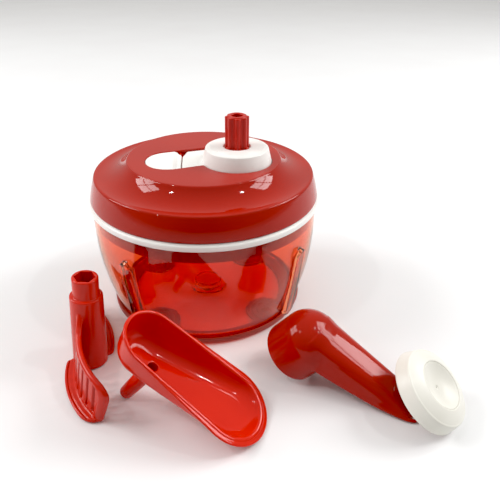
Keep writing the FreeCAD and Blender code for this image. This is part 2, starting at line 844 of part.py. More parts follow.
# ---------------------------------------------------------------- gear train
def tooth(sketch, teeth, spin=0.0):
    """One gear tooth on +X with involute flanks as three-point arcs, thinned for play."""
    module = z.gear_module.value
    pitch = module * teeth / 2
    pressure = math.radians(z.pressure_angle.value)
    base = pitch * math.cos(pressure)
    tip = pitch + 0.82 * module
    root = pitch - 1.1 * module
    half_pitch = math.pi / (2 * teeth) - z.tooth_play.value / (2 * pitch)
    involute_at_pitch = math.tan(pressure) - pressure

    def half_angle(radius):
        if radius <= base:
            return half_pitch + involute_at_pitch
        lean = math.acos(base / radius)
        return half_pitch + involute_at_pitch - (math.tan(lean) - lean)

    def on(radius, side):
        angle = math.radians(spin) + side * half_angle(radius)
        return Vector(radius * math.cos(angle), radius * math.sin(angle), 0)

    start = max(root, base)
    middle = (start + tip) / 2
    inside = root - 0.4 * module
    low_foot = Vector(*rotated(inside, -half_angle(start), spin), 0)
    high_foot = Vector(*rotated(inside, half_angle(start), spin), 0)
    runs = [
        Part.LineSegment(low_foot, on(start, -1)),
        Part.Arc(on(start, -1), on(middle, -1), on(tip, -1)),
        Part.LineSegment(on(tip, -1), on(tip, 1)),
        Part.Arc(on(tip, 1), on(middle, 1), on(start, 1)),
        Part.LineSegment(on(start, 1), high_foot),
        Part.LineSegment(high_foot, low_foot),
    ]
    for run in runs:
        sketch.addGeometry(run)
    return sketch


def rotated(radius, angle, spin):
    angle = angle + math.radians(spin)
    return radius * math.cos(angle), radius * math.sin(angle)


def gear_blank(body, teeth, low, high, spin):
    """Root disc with one tooth, repeated round."""
    module = z.gear_module
    root = module * (teeth / 2 - 1.1)
    disc = new_sketch(body, "RootDisc", lift=low)
    ring(disc, 0, 0, root)
    pad(body, disc, high - low, "Root")
    tooth_face = tooth(new_sketch(body, "ToothFace", lift=low), teeth, spin)
    tooth_pad = pad(body, tooth_face, high - low, "Tooth")
    return around(body, [tooth_pad], teeth, "Teeth")


def make_drive_shaft():
    """Red splined shaft that the crank's hub slides on, with a journal and a gear seat."""
    body = new_body("drive_shaft", z.hub_x, z.hub_y)
    seat_low = z.plate_level + z.plate_thick + 3.0
    profile = new_sketch(body, "ShaftSection", "XZ_Plane")
    bush_low = z.plateau_level - z.pan_depth - 1.4
    outline(profile, [
        (0, z.plate_level - 2.4),
        (3.6, z.plate_level - 2.4),
        (4.0, z.plate_level - 2.0),
        (4.0, seat_low + 1.1),
        (6.0, seat_low + 1.1),
        (6.0, z.gear_low + z.gear_width + 0.1),
        (z.journal_radius + 2.4, z.gear_low + z.gear_width + 0.1),
        (z.journal_radius + 2.4, bush_low - 0.4),
        (z.journal_radius, bush_low - 0.4),
        (z.journal_radius, z.hub_level - 1.3),
        (z.shaft_root, z.hub_level - 0.3),
        (z.shaft_root, z.shaft_top - 0.8),
        (z.shaft_root - 0.7, z.shaft_top),
        (0, z.shaft_top),
    ])
    revolve(body, profile, "Shaft")
    lobe = new_sketch(body, "SplineLobe", lift=z.hub_level - 1.2)
    lobe_radius = 1.95
    ring(lobe, z.shaft_lobe - lobe_radius, 0, lobe_radius)
    lobe_pad = pad(body, lobe, z.shaft_top - z.hub_level + 1.2 - 0.9, "Spline")
    around(body, [lobe_pad], 8, "Splines")
    hole = ring(new_sketch(body, "TopHole", lift=z.shaft_top - 20), 0, 0, z.shaft_hole)
    pocket(body, hole, 22.0, "Hole", up=True)
    key = new_sketch(body, "FlatCut", lift=seat_low + 1.1)
    outline(key, [(5.0, -8), (9, -8), (9, 8), (5.0, 8)])
    pocket(body, key, z.gear_low + z.gear_width - seat_low - 1.05, "Flat", up=True)
    groove_cut = new_sketch(body, "ClipGroove", "XZ_Plane")
    clip = z.plate_level - 1.2
    outline(groove_cut, [(3.2, clip), (5, clip), (5, clip + 0.7), (3.2, clip + 0.7)])
    groove(body, groove_cut, "ClipGrooveCut")
    return body


def make_drive_gear():
    """White 36-tooth wheel with a D bore on the drive shaft's seat."""
    body = new_body("drive_gear", z.hub_x, z.hub_y)
    teeth = SIZES["wheel_teeth"]
    low = z.gear_low
    high = low + z.gear_width
    gear_blank(body, teeth, low, high, mesh_turn())
    web = new_sketch(body, "WebCut", lift=low + 3.0)
    ring(web, 0, 0, 8.8)
    ring(web, 0, 0, 16.2)
    pocket(body, web, 8.0, "Web", up=True)
    hole = ring(new_sketch(body, "LightHole", lift=low - 1), 12.5, 0, 2.3)
    hole_cut = pocket(body, hole, 6.0, "Light", up=True)
    around(body, [hole_cut], 6, "Lights")
    bore = new_sketch(body, "BoreFace", lift=low - 1)
    flat = 5.02
    bore_radius = 6.02
    side = math.sqrt(bore_radius ** 2 - flat ** 2)
    span = math.atan2(side, flat)
    bore.addGeometry(Part.ArcOfCircle(
        Part.Circle(Vector(0, 0, 0), Vector(0, 0, 1), bore_radius), span, 2 * math.pi - span))
    bore.addGeometry(Part.LineSegment(Vector(flat, -side, 0), Vector(flat, side, 0)))
    pocket(body, bore, 14.0, "Bore", up=True)
    return body


def mesh_turn():
    """Turn of the wheel that brings a tooth gap onto the line to the pinion."""
    toward = math.degrees(math.atan2(-SIZES["hub_y"], -SIZES["hub_x"]))
    pitch = 360.0 / SIZES["wheel_teeth"]
    return (toward + pitch / 2) % pitch


def make_gear_washer():
    """Thrust washer between the wheel and the plate's seat."""
    body = new_body("gear_washer", z.hub_x, z.hub_y)
    disc = new_sketch(body, "WasherDisc", lift=z.plate_level + z.plate_thick + 3.05)
    ring(disc, 0, 0, 7.8)
    ring(disc, 0, 0, 4.2)
    pad(body, disc, 0.9, "Washer")
    return body


def make_shaft_clip():
    """Spring clip in the groove at the drive shaft's lower end."""
    body = new_body("shaft_clip", z.hub_x, z.hub_y)
    face = new_sketch(body, "ClipFace", lift=z.plate_level - 1.15)
    outer = 6.4
    inner = 3.25
    gap = 2.2
    outer_x = math.sqrt(outer ** 2 - gap ** 2)
    inner_x = math.sqrt(inner ** 2 - gap ** 2)
    first = math.atan2(gap, outer_x)
    second = math.atan2(gap, inner_x)
    centre = Vector(0, 0, 0)
    up = Vector(0, 0, 1)
    face.addGeometry(Part.ArcOfCircle(Part.Circle(centre, up, outer), first, 2 * math.pi - first))
    face.addGeometry(Part.LineSegment(Vector(outer_x, -gap, 0), Vector(inner_x, -gap, 0)))
    face.addGeometry(Part.ArcOfCircle(Part.Circle(centre, up, inner), second, 2 * math.pi - second))
    face.addGeometry(Part.LineSegment(Vector(inner_x, gap, 0), Vector(outer_x, gap, 0)))
    pad(body, face, 0.6, "Clip")
    return body


def make_pinion():
    """White 12-tooth pinion with a sleeve down through the plate."""
    body = new_body("pinion")
    teeth = SIZES["pinion_teeth"]
    low = z.gear_low
    toward = math.degrees(math.atan2(SIZES["hub_y"], SIZES["hub_x"]))
    spin = toward % (360.0 / teeth)
    gear_blank(body, teeth, low - 0.4, low + z.gear_width + 0.4, spin)
    sleeve = ring(new_sketch(body, "SleeveDisc", lift=z.plate_level - 0.4), 0, 0, z.coupler_radius)
    pad(body, sleeve, low - z.plate_level, "Sleeve")
    spigot = ring(new_sketch(body, "SpigotDisc", lift=z.plate_level - 6.4), 0, 0, 3.9)
    pad(body, spigot, 6.5, "Spigot")
    bore = ring(new_sketch(body, "AxleBore", lift=z.plate_level - 1.0), 0, 0,
                z.axle_radius + z.running_gap)
    pocket(body, bore, 30.0, "Bore", up=True)
    return body


def make_pinion_axle():
    """Steel pin that the pinion turns on, pressed into the cover's boss."""
    body = new_body("pinion_axle")
    low = z.plate_level + 0.6
    disc = ring(new_sketch(body, "PinDisc", lift=low), 0, 0, z.axle_radius)
    pad(body, disc, z.gear_low + z.gear_width + 12.0 - low, "Pin")
    return body


def make_pinion_washer():
    """Thrust washer over the pinion."""
    body = new_body("pinion_washer")
    disc = new_sketch(body, "WasherDisc", lift=z.gear_low + z.gear_width + 0.5)
    ring(disc, 0, 0, 5.4)
    ring(disc, 0, 0, z.axle_radius + 0.02)
    pad(body, disc, 0.85, "Washer")
    return body


def make_drive_coupler():
    """Red six-lobed stub under the lid that drives the whisk's socket."""
    body = new_body("drive_coupler")
    top = z.plate_level - 0.45
    core = ring(new_sketch(body, "CoreDisc", lift=z.coupler_low), 0, 0, z.coupler_core)
    pad(body, core, top - z.coupler_low, "Core")
    lobe = ring(new_sketch(body, "LobeDisc", lift=z.coupler_low), z.coupler_lobe_reach, 0,
                z.coupler_lobe)
    lobe_pad = pad(body, lobe, top - z.coupler_low, "Lobe")
    around(body, [lobe_pad], 6, "Lobes")
    flange = ring(new_sketch(body, "FlangeDisc", lift=top - 2.0), 0, 0, 8.4)
    pad(body, flange, 2.0, "Flange")
    bore = ring(new_sketch(body, "SpigotBore", lift=z.coupler_low - 1), 0, 0, 3.9)
    pocket(body, bore, 30.0, "Bore", up=True)
    return body


# ---------------------------------------------------------------- crank and knob
def lay_crank(body):
    lay_body(body, z.crank_x, z.crank_y, z.crank_z, z.crank_turn, z.crank_tip)


def make_crank_arm():
    """Red crank: splined hub that drops over the shaft, a deep arm and the knob's stem."""
    body = new_body("crank_arm")
    reach = z.crank_reach
    level = z.crank_end_level
    sections = []
    for x, half, top_half, low, high, corner in (
            (0.0, 15.4, 12.6, 12.0, 37.7, 9.0),
            (30.0, 16.4, 13.4, 23.2, 42.4, 6.0),
            (56.0, 16.0, 12.2, 33.6, 46.6, 5.0),
            (73.0, 16.0, 11.8, 43.0, 49.6, 3.0),
            (83.0, 15.6, 11.6, 50.6, 51.6, 0.5)):
        section = new_sketch(body, "ArmSection%d" % x, "YZ_Plane", lift=x)
        outline(section, [(-half, low), (half, low), (top_half, high - corner),
                          (top_half - corner, high), (corner - top_half, high),
                          (-top_half, high - corner)],
                {2: Size.of(-corner - 0.01), 4: Size.of(-corner - 0.01)})
        section.Visibility = False
        sections.append(section)
    arm = body.newObject("PartDesign::AdditiveLoft", "Arm")
    arm.Profile = sections[0]
    arm.Sections = sections[1:]
    plan = new_sketch(body, "ArmPlan", lift=-5)
    end = reach + z.crank_end_radius
    side = 19.0
    nose = 10.5
    outline(plan, [(-10, -side), (end - nose, -side + 2.6), (end, -side + 2.6 + nose),
                   (end, side - 2.6 - nose), (end - nose, side - 2.6), (-10, side)],
            {1: Size.of(-nose - 0.01), 3: Size.of(-nose - 0.01)})
    outline(plan, [(-40, -40), (110, -40), (110, 40), (-40, 40)])
    pocket(body, plan, 70.0, "ArmOutline", up=True)

    hub = new_sketch(body, "HubSection", "XZ_Plane")
    rim = z.crank_hub_radius
    outline(hub, [
        (0, 0),
        (rim - 0.6, 0),
        (rim, 0.6),
        (rim, z.crank_hub_level),
        (4.0, z.crank_crown),
        (0, z.crank_crown),
    ], {1: Size.of(-0.6), 3: z.crank_crown_bend * -1})
    revolve(body, hub, "Hub")
    stem = ring(new_sketch(body, "StemDisc", lift=level - 0.8), reach, 0, z.knob_stem)
    pad(body, stem, z.knob_level - 1.0 - level + 0.8, "Stem")

    hollow = new_sketch(body, "HubHollow", lift=-1)
    ring(hollow, 0, 0, rim - z.crank_wall)
    ring(hollow, 0, 0, z.shaft_lobe + 3.4)
    pocket(body, hollow, 19.0, "HubSpace", up=True)
    root = ring(new_sketch(body, "SocketRoot", lift=-1), 0, 0, z.shaft_root + 0.1)
    pocket(body, root, z.shaft_top - z.hub_level + 2.0, "Socket", up=True)
    lobe = ring(new_sketch(body, "SocketLobe", lift=-1), z.shaft_lobe - 1.95, 0, 2.05)
    lobe_cut = pocket(body, lobe, z.shaft_top - z.hub_level + 2.0, "SocketSpline", up=True)
    around(body, [lobe_cut], 8, "SocketSplines")
    under = new_sketch(body, "ArmHollow", lift=z.crank_crown - 3.4,
                       turn=Rotation(Vector(0, 1, 0), -9.4))
    outline(under, [(26, -10.9), (54, -9.4), (58, -5), (58, 5), (54, 9.4), (26, 10.9)])
    pocket(body, under, 60.0, "ArmSpace")
    pin = ring(new_sketch(body, "PinHole", lift=level - 3), reach, 0, z.knob_axle_radius + 0.02)
    pocket(body, pin, 20.0, "PinWay", up=True)
    lay_crank(body)
    return body


def make_knob_axle():
    """Steel axle that the knob turns on, pressed into the crank's stem."""
    body = new_body("knob_axle")
    profile = new_sketch(body, "AxleSection", "XZ_Plane", shift=(z.crank_reach, 0))
    level = z.knob_level
    outline(profile, [
        (0, z.crank_end_level - 2.8),
        (z.knob_axle_radius - 0.6, z.crank_end_level - 2.8),
        (z.knob_axle_radius, z.crank_end_level - 2.2),
        (z.knob_axle_radius, level + z.knob_seat + 0.06),
        (5.5, level + z.knob_seat + 0.06),
        (5.5, level + z.knob_seat + 0.9),
        (4.7, level + z.knob_seat + 1.5),
        (0, level + z.knob_seat + 1.5),
    ])
    revolve(body, profile, "Axle")
    lay_crank(body)
    return body


def make_knob_washer():
    """Thin washer between the crank's stem and the knob."""
    body = new_body("knob_washer")
    disc = new_sketch(body, "WasherDisc", lift=z.knob_level - 0.98)
    ring(disc, z.crank_reach, 0, z.knob_stem - 0.6)
    ring(disc, z.crank_reach, 0, z.knob_axle_radius + 0.02)
    pad(body, disc, 0.9, "Washer")
    lay_crank(body)
    return body


def make_knob():
    """White knob: a hollow turned shell with a bearing boss and a seat for its cap."""
    body = new_body("knob")
    profile = new_sketch(body, "KnobSection", "XZ_Plane", shift=(z.crank_reach, z.knob_level))
    back = z.knob_radius
    wall = z.knob_wall
    bore = z.knob_axle_radius + z.running_gap
    dish = z.knob_dish_radius + 0.1
    outline(profile, [
        (bore, 0),
        (z.knob_stem, 0),
        (z.knob_stem, 3.2),
        (dish + 2.1, 3.2),
        (dish + 2.3, 9.6),
        (back - 4.3, 7.2),
        (back - wall, 0),
        (back - 0.7, 0),
        (back, 0.7),
        (z.knob_front_radius, z.knob_front_level),
        (z.knob_front_radius - 1.3, z.knob_front_level + 1.1),
        (dish + 0.9, z.knob_thick),
        (dish, z.knob_thick - 0.4),
        (dish, z.knob_seat),
        (bore, z.knob_seat),
    ], {7: Size.of(-0.7), 9: Size.of(-1.3), 10: Size.of(-30), 11: Size.of(-0.9)})
    revolve(body, profile, "Shell")
    lay_crank(body)
    return body


def make_knob_cap():
    """White dished cap that snaps into the knob over the axle's head."""
    body = new_body("knob_cap")
    profile = new_sketch(body, "CapSection", "XZ_Plane", shift=(z.crank_reach, z.knob_level))
    dish = z.knob_dish_radius
    outline(profile, [
        (0, z.knob_seat + 2.0),
        (dish - 1.3, z.knob_thick - 2.4),
        (dish - 1.3, z.knob_seat + 0.02),
        (dish, z.knob_seat + 0.02),
        (dish, z.knob_thick - 0.7),
        (dish - 0.6, z.knob_thick - 0.4),
        (0, z.knob_seat + 3.4),
    ], {0: Size.of(-26), 4: Size.of(-0.5), 5: Size.of(26)})
    revolve(body, profile, "Cap")
    lay_crank(body)
    return body


# ---------------------------------------------------------------- whisk
def wing_band(sketch, half_thick):
    """Curved strip of the wing in plan, from inside the tube to the tip."""
    middle = z.wing_bend.value
    root = math.radians(180.6)
    tip = math.radians(231.0)
    spots = []
    for radius, angle in ((middle - half_thick, root), (middle - half_thick, tip),
                          (middle + half_thick, tip), (middle + half_thick, root)):
        spots.append((z.wing_bend_x.value + radius * math.cos(angle),
                      z.wing_bend_y.value + radius * math.sin(angle)))
    outline(sketch, spots, {0: Size.of(half_thick - middle), 2: Size.of(middle + half_thick)})
    return sketch


def wing_pad(body, sketch, height, name):
    """Pads a strip upward with the wing's lean."""
    feature = pad(body, sketch, height, name)
    feature.UseCustomVector = True
    feature.Direction = Vector(z.wing_lean.value, 0, 1)
    return feature


def make_whisk():
    """Red whisk: tube with a lobed socket, two curved slotted wings and their foot ledges."""
    body = new_body("whisk")
    rim_line = [(-6, 50), (-11, 47), (-15, 40), (-19, 36.6), (-30, 34.2), (-44, 32.2),
                (-52, 31.2), (-58.4, 29.0), (-62.0, 22)]
    thick = wing_pad(body, wing_band(new_sketch(body, "RimPlan"), 1.9), 52, "RimStrip")
    rim_cut = new_sketch(body, "RimSide", "YZ_Plane")
    above = rim_line + [(-58.0, 2.0), (-80, 2.0), (-80, 70), (-6, 70)]
    below = [(y + 0.6, level - 3.4) for y, level in rim_line[:-1]]
    below += [(-58.6, 22), (-56.4, -5), (0, -5), (0, 47)]
    outline(rim_cut, above)
    outline(rim_cut, below)
    rim_shape = pocket(body, rim_cut, 160, "RimCut", middle=True)
    thin = wing_pad(body, wing_band(new_sketch(body, "WingPlan"), z.wing_thick.value / 2), 52,
                    "Wing")
    wing_cut = outline(new_sketch(body, "WingSide", "YZ_Plane"),
                       rim_line + [(-59.3, 1.0), (-58.3, -5), (-80, -5), (-80, 70), (-6, 70)])
    wing_shape = pocket(body, wing_cut, 160, "WingCut", middle=True)
    slots = new_sketch(body, "SlotSide", "YZ_Plane")
    half = z.slot_width.value / 2
    for y, low, high in ((-21.5, 4.5, 31), (-28.4, 4.5, 29.5), (-35.4, 4.5, 29), (-42.3, 4.5, 28),
                         (-48.8, 5, 27.5), (-54.8, 6, 26.5)):
        capsule_slot(slots, y, low, high, half)
    slot_cut = pocket(body, slots, 160, "Slots", middle=True)
    ledge = new_sketch(body, "LedgePlan")
    outline(ledge, [(-7.5, -3), (-15.2, -3), (6.6, -60.0), (15.4, -58.9)],
            {1: Size.of(-79.6), 3: Size.of(71.6)})
    ledge_pad = pad(body, ledge, 2.6, "Ledge")
    around(body, [thick, rim_shape, thin, wing_shape, slot_cut, ledge_pad], 2, "Wings")

    tube = new_sketch(body, "TubeSection", "XZ_Plane")
    step = z.whisk_step_level
    outline(tube, [
        (0, 0),
        (z.whisk_low_radius, 0),
        (z.whisk_high_radius, step - 1.0),
        (z.whisk_high_radius - 1.0, step),
        (z.whisk_neck_radius, step + 0.2),
        (z.whisk_neck_radius, z.whisk_level - 0.6),
        (z.whisk_neck_radius - 0.6, z.whisk_level),
        (0, z.whisk_level),
    ], {2: Size.of(-1.05), 5: Size.of(-0.6)})
    revolve(body, tube, "Tube")
    bore = new_sketch(body, "BoreSection", "XZ_Plane")
    outline(bore, [
        (0, -1),
        (z.whisk_bore, -1),
        (z.whisk_bore, 30),
        (8.6, step - 3.0),
        (z.coupler_core + 0.2, step + 1.0),
        (z.coupler_core + 0.2, z.whisk_level + 1),
        (0, z.whisk_level + 1),
    ])
    groove(body, bore, "Bore")
    lobe = ring(new_sketch(body, "SocketLobe", lift=step + 2.0), z.coupler_lobe_reach + 0.1, 0,
                z.coupler_lobe + 0.2)
    lobe_cut = pocket(body, lobe, 20.0, "SocketLobeCut", up=True)
    around(body, [lobe_cut], 6, "SocketLobes")
    lay_body(body, z.whisk_x, z.whisk_y, z.whisk_z, Size.of(0.0), z.whisk_tip)
    return body


def capsule_slot(sketch, across, low, high, half):
    """One upright slot with round ends."""
    return capsule(sketch, across, low, half, across, high, half)


# ---------------------------------------------------------------- funnel
def make_funnel():
    """Red funnel: long trough with a flat lip and a round spout under its deep end."""
    body = new_body("funnel")
    deep_x = z.funnel_deep_x
    lip_x = z.funnel_lip_x
    inner = z.funnel_trough_radius
    wall = z.funnel_wall
    shell = new_sketch(body, "ShellPlan", lift=-1.0)
    capsule(shell, deep_x, 0, inner + wall, lip_x, 0, z.funnel_mouth_radius + wall)
    shell_pad = pad(body, shell, 30.0, "Shell", down=True)
    shell_pad.TaperAngle = -z.funnel_draft.value
    below = new_sketch(body, "FloorUnder", "XZ_Plane")
    outline(below, [
        (-60, -z.funnel_deep - 2.2),
        (-10, -z.funnel_deep - 2.2),
        (5, -z.funnel_deep - 0.4),
        (78, -z.funnel_shallow - wall),
        (90, -z.funnel_shallow - wall),
        (90, -60),
        (-60, -60),
    ])
    pocket(body, below, 160, "FloorUnderCut", middle=True)
    rim = capsule(new_sketch(body, "RimPlan", lift=-z.funnel_rim), deep_x, 0,
                  z.funnel_deep_radius, lip_x, 0, z.funnel_lip_radius)
    pad(body, rim, z.funnel_rim, "Rim")
    spout = new_sketch(body, "SpoutSection", "XZ_Plane")
    tip = z.spout_tip_radius
    outline(spout, [
        (0, -12),
        (z.spout_radius + 2.4, -12),
        (z.spout_radius + 2.0, -z.funnel_deep - 1.0),
        (z.spout_radius, -z.funnel_deep - 4.0),
        (tip, -z.spout_reach + 2.4),
        (tip - 1.0, -z.spout_reach),
        (0, -z.spout_reach),
    ], {4: Size.of(-2.6)})
    revolve(body, spout, "Spout")

    trough = new_body("funnel_trough")
    plan = capsule(new_sketch(trough, "TroughPlan", lift=1.0), deep_x, 0, inner + 0.2,
                   lip_x, 0, z.funnel_mouth_radius + 0.2)
    trough_pad = pad(trough, plan, 32.0, "Trough", down=True)
    trough_pad.TaperAngle = -z.funnel_draft.value
    floor = new_sketch(trough, "FloorSide", "XZ_Plane")
    outline(floor, [
        (-60, -z.funnel_deep),
        (-10, -z.funnel_deep),
        (5, -z.funnel_deep + 1.6),
        (78, -z.funnel_shallow),
        (90, -z.funnel_shallow),
        (90, -60),
        (-60, -60),
    ])
    pocket(trough, floor, 160, "FloorCut", middle=True)
    doc.recompute()
    cut = body.newObject("PartDesign::Boolean", "TroughCut")
    cut.setObjects([trough])
    cut.Type = 1
    doc.recompute()
    bore = ring(new_sketch(body, "SpoutBore", lift=-z.spout_reach - 1), 0, 0, z.spout_bore)
    pocket(body, bore, 50.0, "Bore", up=True)
    lay_body(body, z.funnel_x, z.funnel_y, z.funnel_z, z.funnel_turn, z.funnel_tip)
    return body


# ---------------------------------------------------------------- build, check and write
MAKERS = [
    make_bowl,
    make_foot_ring,
    make_lid_ring,
    make_cover,
    make_inner_cover,
    make_hub_cover,
    make_flap,
    make_flap_pin,
    make_shaft_bush,
    make_cover_screws,
    make_drive_shaft,
    make_drive_gear,
    make_gear_washer,
    make_shaft_clip,
    make_pinion,
    make_pinion_axle,
    make_pinion_washer,
    make_drive_coupler,
    make_crank_arm,
    make_knob_axle,
    make_knob_washer,
    make_knob,
    make_knob_cap,
    make_whisk,
    make_funnel,
]

pieces = [maker() for maker in MAKERS]
doc.recompute()
for item in doc.Objects:
    if "Invalid" in item.State or "Error" in item.State:
        raise RuntimeError("%s of the document is in error" % item.Name)
for piece in pieces:
    if piece.Shape.isNull() or not piece.Shape.isValid():
        raise RuntimeError("%s has no valid shape" % piece.Label)
for piece in pieces:
    piece.Shape.exportStep("parts/%s.step" % piece.Label)
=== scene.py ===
"""Looks of the hand-cranked food whip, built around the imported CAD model."""

import math

import bpy
import numpy as np
from mathutils import Matrix, Vector


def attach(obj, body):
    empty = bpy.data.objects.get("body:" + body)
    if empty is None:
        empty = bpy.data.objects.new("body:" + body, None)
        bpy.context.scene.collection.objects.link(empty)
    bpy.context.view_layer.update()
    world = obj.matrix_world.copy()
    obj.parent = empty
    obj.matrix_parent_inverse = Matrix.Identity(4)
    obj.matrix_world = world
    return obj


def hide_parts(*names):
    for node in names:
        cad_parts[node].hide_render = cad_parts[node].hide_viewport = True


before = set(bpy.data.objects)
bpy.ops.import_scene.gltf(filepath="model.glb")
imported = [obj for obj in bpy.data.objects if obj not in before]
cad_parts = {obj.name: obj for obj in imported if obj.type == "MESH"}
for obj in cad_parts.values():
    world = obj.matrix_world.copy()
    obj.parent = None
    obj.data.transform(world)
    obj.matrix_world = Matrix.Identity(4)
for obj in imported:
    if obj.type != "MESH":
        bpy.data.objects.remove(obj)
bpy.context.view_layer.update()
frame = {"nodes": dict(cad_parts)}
nodes = frame["nodes"]
MM = 0.001


# ---------------------------------------------------------------- camera
def look(yaw, pitch, roll):
    """Camera axes from a heading off +Y, a downward tilt and a roll, in degrees."""
    yaw, pitch, roll = [math.radians(angle) for angle in (yaw, pitch, roll)]
    ahead = Vector((math.sin(yaw) * math.cos(pitch), math.cos(yaw) * math.cos(pitch),
                    -math.sin(pitch)))
    side = Vector((math.cos(yaw), -math.sin(yaw), 0))
    up = side.cross(ahead)
    side, up = (side * math.cos(roll) + up * math.sin(roll),
                up * math.cos(roll) - side * math.sin(roll))
    return Matrix((side, up, -ahead)).transposed().to_4x4()


# Fitted to the photograph: place in metres, then heading, tilt and roll.
CAMERA_PLACE = (0, -0.3908, 0.2666)
CAMERA_ANGLES = (5.26, 30.46, 0.87)

lens = bpy.data.cameras.new("camera")
lens.lens = 38.95
lens.sensor_width = 36.0
camera = bpy.data.objects.new("camera", lens)
camera.matrix_world = Matrix.Translation(CAMERA_PLACE) @ look(*CAMERA_ANGLES)
bpy.context.scene.collection.objects.link(camera)
bpy.context.scene.camera = camera
# The photograph's blacks are a little crushed.
BLACK_LEVEL = 0.010
tone = bpy.context.scene.view_settings
tone.view_transform = "Standard"
tone.use_curve_mapping = True
tone.curve_mapping.black_level = (BLACK_LEVEL,) * 3
tone.curve_mapping.update()


# ---------------------------------------------------------------- materials
NOISE_LOW, NOISE_HIGH = 0.25, 0.75
SATIN_FADE = 0.0001


class Shader:
    """A node material round one Principled shader."""

    def __init__(self, name, **settings):
        self.material = bpy.data.materials.new(name)
        self.material.use_nodes = True
        self.tree = self.material.node_tree
        self.main = next(n for n in self.tree.nodes if n.type == "BSDF_PRINCIPLED")
        self.place = self.tree.nodes.new("ShaderNodeTexCoord").outputs["Object"]
        for socket, value in settings.items():
            self.main.inputs[socket.replace("_", " ")].default_value = value

    def noise(self, scale, detail=3.0, stretch=None):
        """Noise in object space; stretch draws it out along an axis."""
        place = self.place
        if stretch:
            mapping = self.tree.nodes.new("ShaderNodeMapping")
            mapping.inputs["Scale"].default_value = stretch
            self.tree.links.new(place, mapping.inputs["Vector"])
            place = mapping.outputs["Vector"]
        node = self.tree.nodes.new("ShaderNodeTexNoise")
        node.inputs["Scale"].default_value = scale
        node.inputs["Detail"].default_value = detail
        self.tree.links.new(place, node.inputs["Vector"])
        return node.outputs["Fac"]

    def ramp(self, source, stops):
        """Colours read off a source, from (position, colour) stops."""
        node = self.tree.nodes.new("ShaderNodeValToRGB")
        ramp = node.color_ramp
        for index, (position, colour) in enumerate(stops):
            stop = ramp.elements[index] if index < 2 else ramp.elements.new(position)
            stop.position = position
            stop.color = (*colour, 1.0)
        self.tree.links.new(source, node.inputs["Fac"])
        return node.outputs["Color"]

    def spread(self, source, low, high):
        """The noise's usual span drawn out over low to high."""
        node = self.tree.nodes.new("ShaderNodeMapRange")
        node.inputs["From Min"].default_value = NOISE_LOW
        node.inputs["From Max"].default_value = NOISE_HIGH
        node.inputs["To Min"].default_value = low
        node.inputs["To Max"].default_value = high
        self.tree.links.new(source, node.inputs["Value"])
        return node.outputs["Result"]

    def colours(self, dark, light, scale=22.0, stretch=None):
        """Slow drift of pigment between two near colours."""
        drift = self.ramp(self.noise(scale, 4.0, stretch), [(0.3, dark), (0.7, light)])
        self.tree.links.new(drift, self.main.inputs["Base Color"])
        return self

    def roughness(self, low, high, scale=260.0, stretch=None):
        """Fine patches of roughness, as handling and moulding leave."""
        amount = self.spread(self.noise(scale, 5.0, stretch), low, high)
        self.tree.links.new(amount, self.main.inputs["Roughness"])
        return self

    def bumps(self, *layers):
        """Layers of (noise scale, depth in metres, stretch), one over the other."""
        before = None
        for scale, depth, stretch in layers:
            node = self.tree.nodes.new("ShaderNodeBump")
            node.inputs["Strength"].default_value = 1.0
            node.inputs["Distance"].default_value = depth
            self.tree.links.new(self.noise(scale, 3.0, stretch), node.inputs["Height"])
            if before:
                self.tree.links.new(before, node.inputs["Normal"])
            before = node.outputs["Normal"]
        self.tree.links.new(before, self.main.inputs["Normal"])
        return self

    def satin_above(self, level, **amounts):
        """Swaps in other values over a height in metres, where the mould was left satin."""
        split = self.tree.nodes.new("ShaderNodeSeparateXYZ")
        self.tree.links.new(self.place, split.inputs["Vector"])
        share = self.tree.nodes.new("ShaderNodeMapRange")
        share.inputs["From Min"].default_value = level - SATIN_FADE
        share.inputs["From Max"].default_value = level
        self.tree.links.new(split.outputs["Z"], share.inputs["Value"])
        for name, amount in amounts.items():
            socket = self.main.inputs[name.replace("_", " ")]
            mix = self.tree.nodes.new("ShaderNodeMix")
            mix.inputs["A"].default_value = socket.default_value
            mix.inputs["B"].default_value = amount
            if socket.links:
                self.tree.links.new(socket.links[0].from_socket, mix.inputs["A"])
            self.tree.links.new(share.outputs["Result"], mix.inputs["Factor"])
            self.tree.links.new(mix.outputs["Result"], socket)
        return self

    def lets_lamps_through(self, tint):
        """Clear plastic's shadow: lamp rays pass, coloured by each face they cross."""
        nodes, links = self.tree.nodes, self.tree.links
        through = nodes.new("ShaderNodeBsdfTransparent")
        through.inputs["Color"].default_value = (*tint, 1.0)
        rays = nodes.new("ShaderNodeLightPath")
        mix = nodes.new("ShaderNodeMixShader")
        output = next(n for n in nodes if n.type == "OUTPUT_MATERIAL")
        links.new(rays.outputs["Is Shadow Ray"], mix.inputs[0])
        links.new(self.main.outputs[0], mix.inputs[1])
        links.new(through.outputs[0], mix.inputs[2])
        links.new(mix.outputs[0], output.inputs["Surface"])
        return self


def red_plastic(name, dark, light, low, high, shine=0.35):
    """Glossy red plastic between two reds, with roughness from low to high."""
    shader = Shader(name, IOR=1.47, Specular_IOR_Level=shine)
    shader.colours(dark, light).roughness(low, high)
    return shader.bumps((55.0, 0.00005, None), (800.0, 0.0000012, None))


PLATEAU_SATIN = 0.1199
DEEP_RED, DEEP_RED_LIT = (0.37, 0.0125, 0.0035), (0.41, 0.0155, 0.0045)

